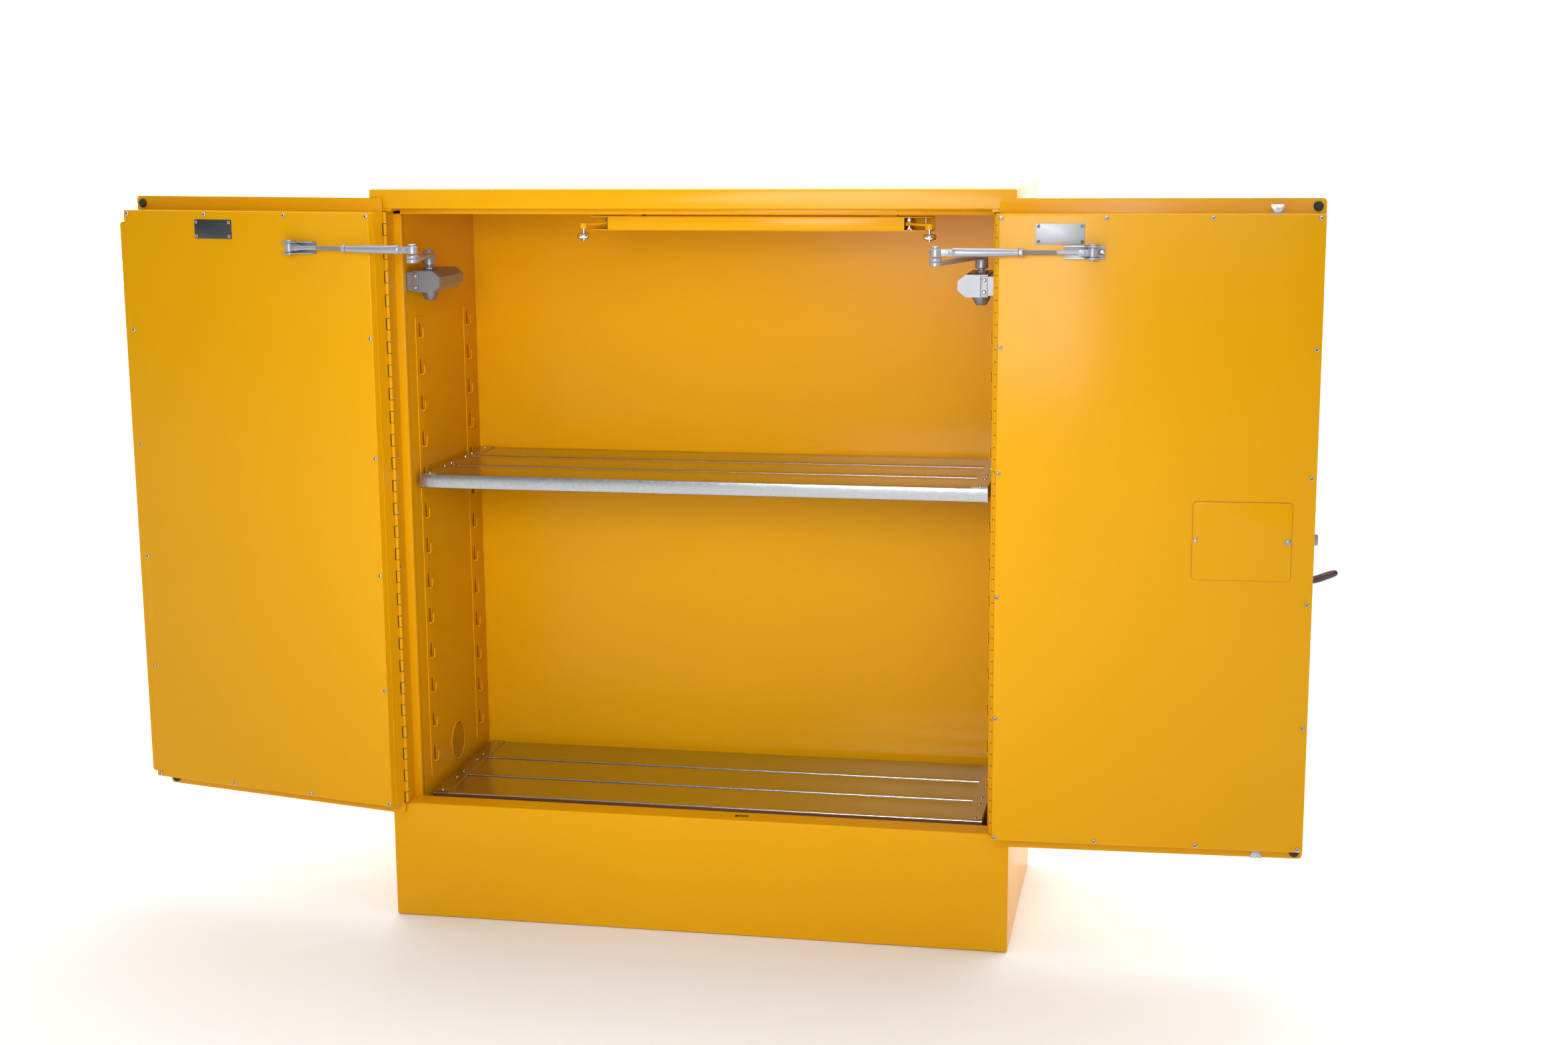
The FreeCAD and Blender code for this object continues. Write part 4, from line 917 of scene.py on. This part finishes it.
def handle():
    """Curved lever on a round hub."""
    place = door_place("right")
    line = [(LATCH_ALONG, 0.735), (0.452, 0.717), (0.47, 0.692), (0.49, 0.667), (0.506, 0.6575),
        (0.522, 0.6588), (0.54, 0.6672), (0.557, 0.6728)]
    half_tall = [0.016, 0.015, 0.012, 0.0092, 0.0072, 0.0068, 0.0066, 0.006]
    half_deep = [0.006, 0.0062, 0.006, 0.0058, 0.0056, 0.0054, 0.005, 0.004]
    out = [-0.027, -0.0275, -0.0285, -0.0285, -0.0285, -0.028, -0.027, -0.0262]
    bm = bmesh.new()
    rings = []
    for i, (x, z) in enumerate(line):
        before = Vector(line[max(i - 1, 0)])
        after = Vector(line[min(i + 1, len(line) - 1)])
        way = (after - before).normalized()
        points = []
        for turn in circle(16):
            a = half_tall[i] * boxy(math.cos(turn))
            b = half_deep[i] * boxy(math.sin(turn))
            points.append((x - way.y * a, out[i] + b, z + way.x * a))
        rings.append(ring(bm, points))
    bridge(bm, rings)
    bm.faces.new(rings[0])
    bm.faces.new(rings[-1])
    hub = lathe([(0.019, 0), (0.019, 0.004), (0.0172, 0.006), (0.0165, 0.024), (0.015, 0.027), (0.01, 0.0285),
        (0, 0.029)], 36)
    add(bm, hub, at(LATCH_ALONG, -0.0072, 0.735, "-y"))
    obj = piece("lever", bm, "handle", "dark_handle", place, ("door_handle",), angle=50)
    smooth = obj.modifiers.new("round", "SUBSURF")
    smooth.levels = 1
    smooth.render_levels = 2


# ---------------------------------------------------------------- door closers
def closer_bodies():
    """Chamfered closer castings on their wall plates, with the spindle's collar above and the cap below."""
    for side, hand in HANDS:
        spindle = Vector(where(side + "_arm_turn"))
        front, back = -0.174, -0.05
        bottom, top = 1.112, 1.149
        outer, inner = 0.497, 0.447
        shape = [(outer, bottom), (inner + 0.013, bottom), (inner, bottom + 0.011), (inner, top - 0.011),
            (inner + 0.013, top), (outer, top)]
        mirror = Matrix.Diagonal((hand, 1, 1, 1))
        body = extruded(shape, "xz", front + 0.004, back)
        edge = [(x + (0.0004 if x < outer else -0.012), z) for x, z in shape]
        cap = extruded(edge, "xz", front, front + 0.0042)
        wall = block((outer - 0.0015, front + 0.002, bottom + 0.002), (LINER, back - 0.002, top - 0.002),
            0.0012)
        step = block((0.486, front + 0.0008, bottom + 0.0025), (0.4965, front + 0.006, top - 0.0025), 0.0006)
        mark = block((inner + 0.0145, front + 0.03, top - 0.0003),
            (inner + 0.0265, front + 0.046, top + 0.0004), 0.0003)
        bm = total(body, cap, wall, step)
        bm.transform(mirror)
        x, y = spindle.xy
        add(bm, hex_nut(0.0112, 0, 0.0045), at(x, y, top - 0.0006, spin=12))
        add(bm, lathe([(0.0142, 0), (0.0142, 0.0032), (0.0132, 0.0042), (0, 0.0042)], 32),
            at(x, y, top - 0.0036))
        add(bm, lathe([(0, -0.0162), (0.0084, -0.0162), (0.0094, -0.0155), (0.0148, -0.0062), (0.015, -0.005),
            (0.015, 0.0005), (0, 0.0005)], 36), at(x, y, bottom))
        piece("closer_case_" + side, bm, "cabinet", "silver_paint", replaces=("closer_body_" + side,),
            look=casting(), angle=22)
        bolts = bmesh.new()
        for z in (bottom + 0.0085, top - 0.0085):
            add(bolts, hollow_head(0.0034, 0.0018, 0.0015, 0.0012),
                at(hand * 0.4913, front + 0.0008, z, "-y"))
        piece("closer_bolts_" + side, bolts, "cabinet", "silver_paint", look=zinc())
        mark.transform(mirror)
        piece("closer_valve_" + side, mark, "cabinet", "silver_paint", look=dark_plate())


def main_arms():
    """Flat main arms from the closer spindle to the elbow."""
    for side in SIDES:
        spindle, elbow, _ = closer_points(side)
        place = link_place(spindle, elbow, where(side + "_forearm_turn")[2])
        boss = lathe([(0, -0.0368), (0.0098, -0.0368), (0.011, -0.0358), (0.011, -0.014), (0.0104, -0.013),
            (0, -0.013)], 36)
        neck = lathe([(0, -0.04), (0.006, -0.04), (0.006, -0.0365), (0, -0.0365)], 24)
        nut = moved(hex_nut(0.0058, 0, 0.0032), shift(0, 0, -0.0132))
        taper = [(0.000, -0.0098), (0.06, -0.0085), (ARM, -0.0078), (ARM, 0.0078), (0.06, 0.0085),
            (0.000, 0.0098)]
        bar = slab(rounded(taper, 0.004, 4), -0.0208, -0.015, 0.0012, 3)
        eye = lathe([(0, -0.0214), (0.0088, -0.0214), (0.01, -0.0206), (0.0101, -0.016), (0.0092, -0.0149),
            (0.0078, -0.0146), (0.0078, -0.0142), (0.0096, -0.0138), (0.0101, -0.013), (0.0101, -0.0092),
            (0.0093, -0.008), (0, -0.008)], 36)
        add(boss, neck)
        add(boss, nut)
        add(boss, bar)
        add(boss, eye, shift(ARM, 0, 0))
        piece("closer_arm_" + side, boss, side + "_arm", "silver_paint", place, ("main_arm_" + side,))


def forearms():
    """Adjustable forearms: knuckle at the elbow, pressed tube, lock nut, threaded rod and shoe eye."""
    lock_nut = FOREARM - 0.1372
    thread_start = 0.056
    for side in SIDES:
        _, elbow, shoe = closer_points(side)
        place = link_place(shoe, elbow, where(side + "_forearm_turn")[2])
        hub = lathe([(0, -0.0062), (0.0086, -0.0062), (0.0092, -0.0055), (0.0092, 0.0052), (0.0084, 0.0062),
            (0.006, 0.0066), (0.006, 0.0078), (0.0068, 0.0082), (0.0068, 0.0092), (0.0054, 0.0102),
            (0, 0.0106)], 36)
        bm = moved(hub, shift(FOREARM, 0, 0))
        tongue = [(FOREARM - 0.034, -0.0056), (FOREARM - 0.002, -0.0056), (FOREARM - 0.002, 0.0056),
            (FOREARM - 0.034, 0.0056)]
        add(bm, extruded(rounded(tongue, 0.003, 4), "xz", -0.0028, 0.0028, 0.0007))
        for hand in ("-y", "y"):
            add(bm, domed(0.004, 0.0018), at(FOREARM - 0.0185, 0.0028 if hand == "y" else -0.0028, 0, hand))
        add(bm, pressed_tube(), Matrix.Identity(4))
        add(bm, hex_nut(0.0074, 0, 0.0068), at(lock_nut, 0, 0, "x", 8))
        eye = lathe([(0.0041, -0.0072), (0.0068, -0.0072), (0.0076, -0.0064), (0.0076, 0.0064),
            (0.0068, 0.0072), (0.0041, 0.0072), (0.0041, -0.0072)], 32)
        add(bm, eye)
        fork = [(0.005, -0.0048), (0.019, -0.0052), (0.024, -0.003), (0.024, 0.003), (0.019, 0.0052),
            (0.005, 0.0048)]
        add(bm, extruded(rounded(fork, 0.0018, 3), "xz", -0.003, 0.003, 0.0007))
        for hand in ("-y", "y"):
            add(bm, domed(0.0036, 0.0016), at(0.015, 0.003 if hand == "y" else -0.003, 0, hand))
        add(bm, moved(rod(0.0037, 0.036), at(0.0205, 0, 0, "x")))
        piece("closer_forearm_" + side, bm, side + "_forearm", "silver_paint", place, ("forearm_" + side,))
        piece("closer_thread_" + side, thread(0.0038, lock_nut - thread_start, 0.0013), side + "_forearm",
            "silver_paint", place @ at(thread_start, 0, 0, "x"), look=casting())


def pressed_tube():
    """The forearm's round tube, stepped at the nut end and pressed flat at the elbow end."""
    stations = [(FOREARM - 0.13, 0.0052, 0.0052), (FOREARM - 0.1292, 0.0058, 0.0058),
        (FOREARM - 0.112, 0.0058, 0.0058), (FOREARM - 0.106, 0.0068, 0.0068),
        (FOREARM - 0.048, 0.0068, 0.007), (FOREARM - 0.033, 0.0055, 0.0074),
        (FOREARM - 0.027, 0.0045, 0.0072), (FOREARM - 0.0262, 0.0038, 0.0064)]
    bm = bmesh.new()
    turns = circle(28)
    rings = [ring(bm, [(x, deep * math.cos(t), tall * math.sin(t)) for t in turns]) for x, deep,
        tall in stations]
    bridge(bm, rings)
    bm.faces.new(rings[0])
    bm.faces.new(rings[-1])
    return bm


def thread(radius, long, pitch):
    """A rolled thread as a stack of crests."""
    profile = [(0, 0), (radius - 0.0004, 0)]
    for i in range(int(long / pitch)):
        profile += [(radius - 0.0003, i * pitch + 0.0002), (radius, i * pitch + pitch * 0.5)]
    profile += [(radius - 0.0004, long), (0, long)]
    return lathe(profile, 16)


def shoes():
    """Closer shoes: folded channel on the pan, pivot barrel and mounting bolt."""
    for side in SIDES:
        place = door_place(side)
        level = where(side + "_forearm_turn")[2]
        near, far = 0.1082, 0.1718
        pivot, out = 0.152, PAN_IN + 0.017
        half, thick = 0.0105, 0.0022
        channel = [(PAN_IN + 0.0135, level + half), (PAN_IN + 0.0002, level + half),
            (PAN_IN + 0.0002, level - half), (PAN_IN + 0.0135, level - half)]
        bm = extruded(sheet_section(channel, thick, thick, 3), "yz", near, far, 0.0005)
        for z in (level - half, level + half - thick):
            ear = [(pivot - 0.013, PAN_IN + 0.004), (pivot + 0.012, PAN_IN + 0.004),
                (pivot + 0.012, out + 0.001), (pivot + 0.006, out + 0.007), (pivot - 0.006, out + 0.007),
                (pivot - 0.013, out - 0.001)]
            add(bm, slab(rounded(ear, 0.003, 4), z, z + thick, 0.0005))
        pin = lathe([(0, -0.0128), (0.005, -0.0128), (0.0058, -0.012), (0.0058, -0.0106), (0.004, -0.0104),
            (0.004, 0.0106), (0.006, 0.0108), (0.006, 0.0118), (0.0048, 0.0132), (0, 0.0136)], 28)
        add(bm, pin, shift(pivot, out, level))
        piece("closer_bracket_" + side, bm, side + "_door", "silver_paint", place, ("closer_shoe_" + side,))
        bolt = domed(0.0046, 0.003, 0.5)
        add(bolt, cross_mark(), shift(0, 0, 0.0028))
        piece("closer_bracket_bolt_" + side, moved(bolt, at(far - 0.0053, PAN_IN + 0.0024, level, "y")),
            side + "_door", "silver_paint", place, look=zinc())


# ---------------------------------------------------------------- door coordinator
def coordinator():
    """Folded housing, its arms with barrel rollers, and the bolts and pins in its pockets."""
    low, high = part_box("coordinator_bar")
    bottom = low.z
    top = bottom + 0.024
    front, back = low.y, high.y
    wall = 0.002
    left_pocket, right_pocket = low.x + 0.032, high.x - 0.0464
    bm = block((low.x, front, bottom), (high.x, back, bottom + wall), 0.0006)
    add(bm, block((left_pocket, front, bottom + 0.0004), (right_pocket, front + wall, top), 0.0007))
    add(bm, block((low.x, back - wall, bottom), (high.x, back, top), 0.0006))
    add(bm, block((low.x, front + 0.0004, top - wall), (high.x, back, top), 0.0006))
    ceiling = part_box("liner_ceiling")[0].z
    for x in (low.x + 0.06, high.x - 0.09):
        add(bm, block((x, front + 0.008, top - 0.0005), (x + 0.03, back - 0.008, ceiling), 0.0006))
    case_piece("coordinator_housing", bm, ("coordinator_bar",))
    bits = bmesh.new()
    pivots = []
    for side in SIDES:
        x, y, z = where(side + "_finger_turn")
        pivots.append(x)
        add(bits, hex_nut(0.0058, 0, 0.0042), at(x, y, z + 0.0036))
        add(bits, rod(0.003, 0.0215), at(x, y, bottom + 0.0008))
        add(bits, hex_nut(0.0058, 0, 0.0036), at(x, y, bottom + wall))
    add(bits, rod(0.0013, 0.019), at(high.x - 0.011, front + 0.004, bottom + wall))
    add(bits, domed(0.004, 0.0026), at(high.x - 0.036, front + 0.009, bottom + wall))
    piece("coordinator_bolts", bits, "cabinet", "zinc_plate")
    for side in SIDES:
        pivot = Vector(where(side + "_finger_turn"))
        tip = Vector(where(side + "_roller_spin"))
        reach = (tip.xy - pivot.xy).length
        place = link_place(pivot, tip, pivot.z)
        shape = [(-0.0062, -0.0058), (reach - 0.002, -0.0052), (reach + 0.0062, -0.0052),
            (reach + 0.0062, 0.0052), (reach - 0.002, 0.0052), (-0.0062, 0.0058)]
        bar = slab(rounded(shape, 0.0048, 5), -0.002, 0.0018, 0.0006)
        eye = lathe([(0, -0.003), (0.0066, -0.003), (0.007, -0.0026), (0.007, 0.0026), (0.0066, 0.003),
            (0, 0.003)], 28)
        boss = lathe([(0, -0.0072), (0.0058, -0.0072), (0.0064, -0.0066), (0.0066, 0.0016), (0.0058, 0.0024),
            (0, 0.0026)], 28)
        add(bar, eye)
        add(bar, boss, shift(reach, 0, 0))
        piece("coordinator_lever_" + side, bar, side + "_finger", "yellow_paint", place,
            ("coordinator_arm_" + side,))
        pin = lathe([(0, -0.0272), (0.0032, -0.0272), (0.0038, -0.0264), (0.0038, -0.0232), (0.003, -0.023),
            (0.003, -0.0068), (0, -0.0068)], 20)
        piece("coordinator_pin_" + side, moved(pin, shift(reach, 0, 0)), side + "_finger", "zinc_plate",
            place)
        barrel = lathe([(0.0032, -0.0014), (0.0086, -0.0014), (0.0102, -0.0004), (0.0113, 0.0014),
            (0.0115, 0.0035), (0.0113, 0.0056), (0.0102, 0.0074), (0.0086, 0.0084), (0.0032, 0.0084),
            (0.0032, -0.0014)], 36)
        piece("coordinator_barrel_" + side, barrel, side + "_roller", "bright_steel",
            shift(tip.x, tip.y, tip.z), ("coordinator_roller_" + side,))


def vent_caps():
    """Screwed outer caps with a grip and a knurled rim."""
    for side, hand in HANDS:
        x, y, z = where(side + "_vent_cap_turn")
        place = at(hand * X_OUT, y, z, "-x" if hand < 0 else "x")
        profile = [(0, 0.0128), (0.027, 0.0128), (0.0292, 0.0112), (0.0305, 0.0095), (0.0308, 0.0042),
            (0.0302, 0.0034), (0, 0.0034)]
        bm = lathe(profile, 48)
        for i in range(36):
            rib = block((0.03, -0.0006, 0.005), (0.031, 0.0006, 0.0088), 0.0003, 1)
            add(bm, rib, Matrix.Rotation(math.radians(10 * i), 4, "Z"))
        grip = hex_nut(0.012, 0.0126, 0.0188)
        piece("vent_cover_" + side, total(bm, grip), side + "_vent_cap", "brass_cap", place,
            ("vent_cap_" + side,))


# ---------------------------------------------------------------- everything together
make_camera()
make_stage()
case_shell()
frame_folds()
hook_strips()
vents()
slatted("shelf", "shelf", 0.792, 0.767, ("shelf_slats", "shelf_ends"), 0.5)
slatted("grate", "grate", 0.2105, 0.0618, ("grate_slats", "grate_ends"), 0.497)
doors()
seal()
lock_gear()
latch_bolts()
handle()
closer_bodies()
main_arms()
forearms()
shoes()
coordinator()
vent_caps()
dress_cad()
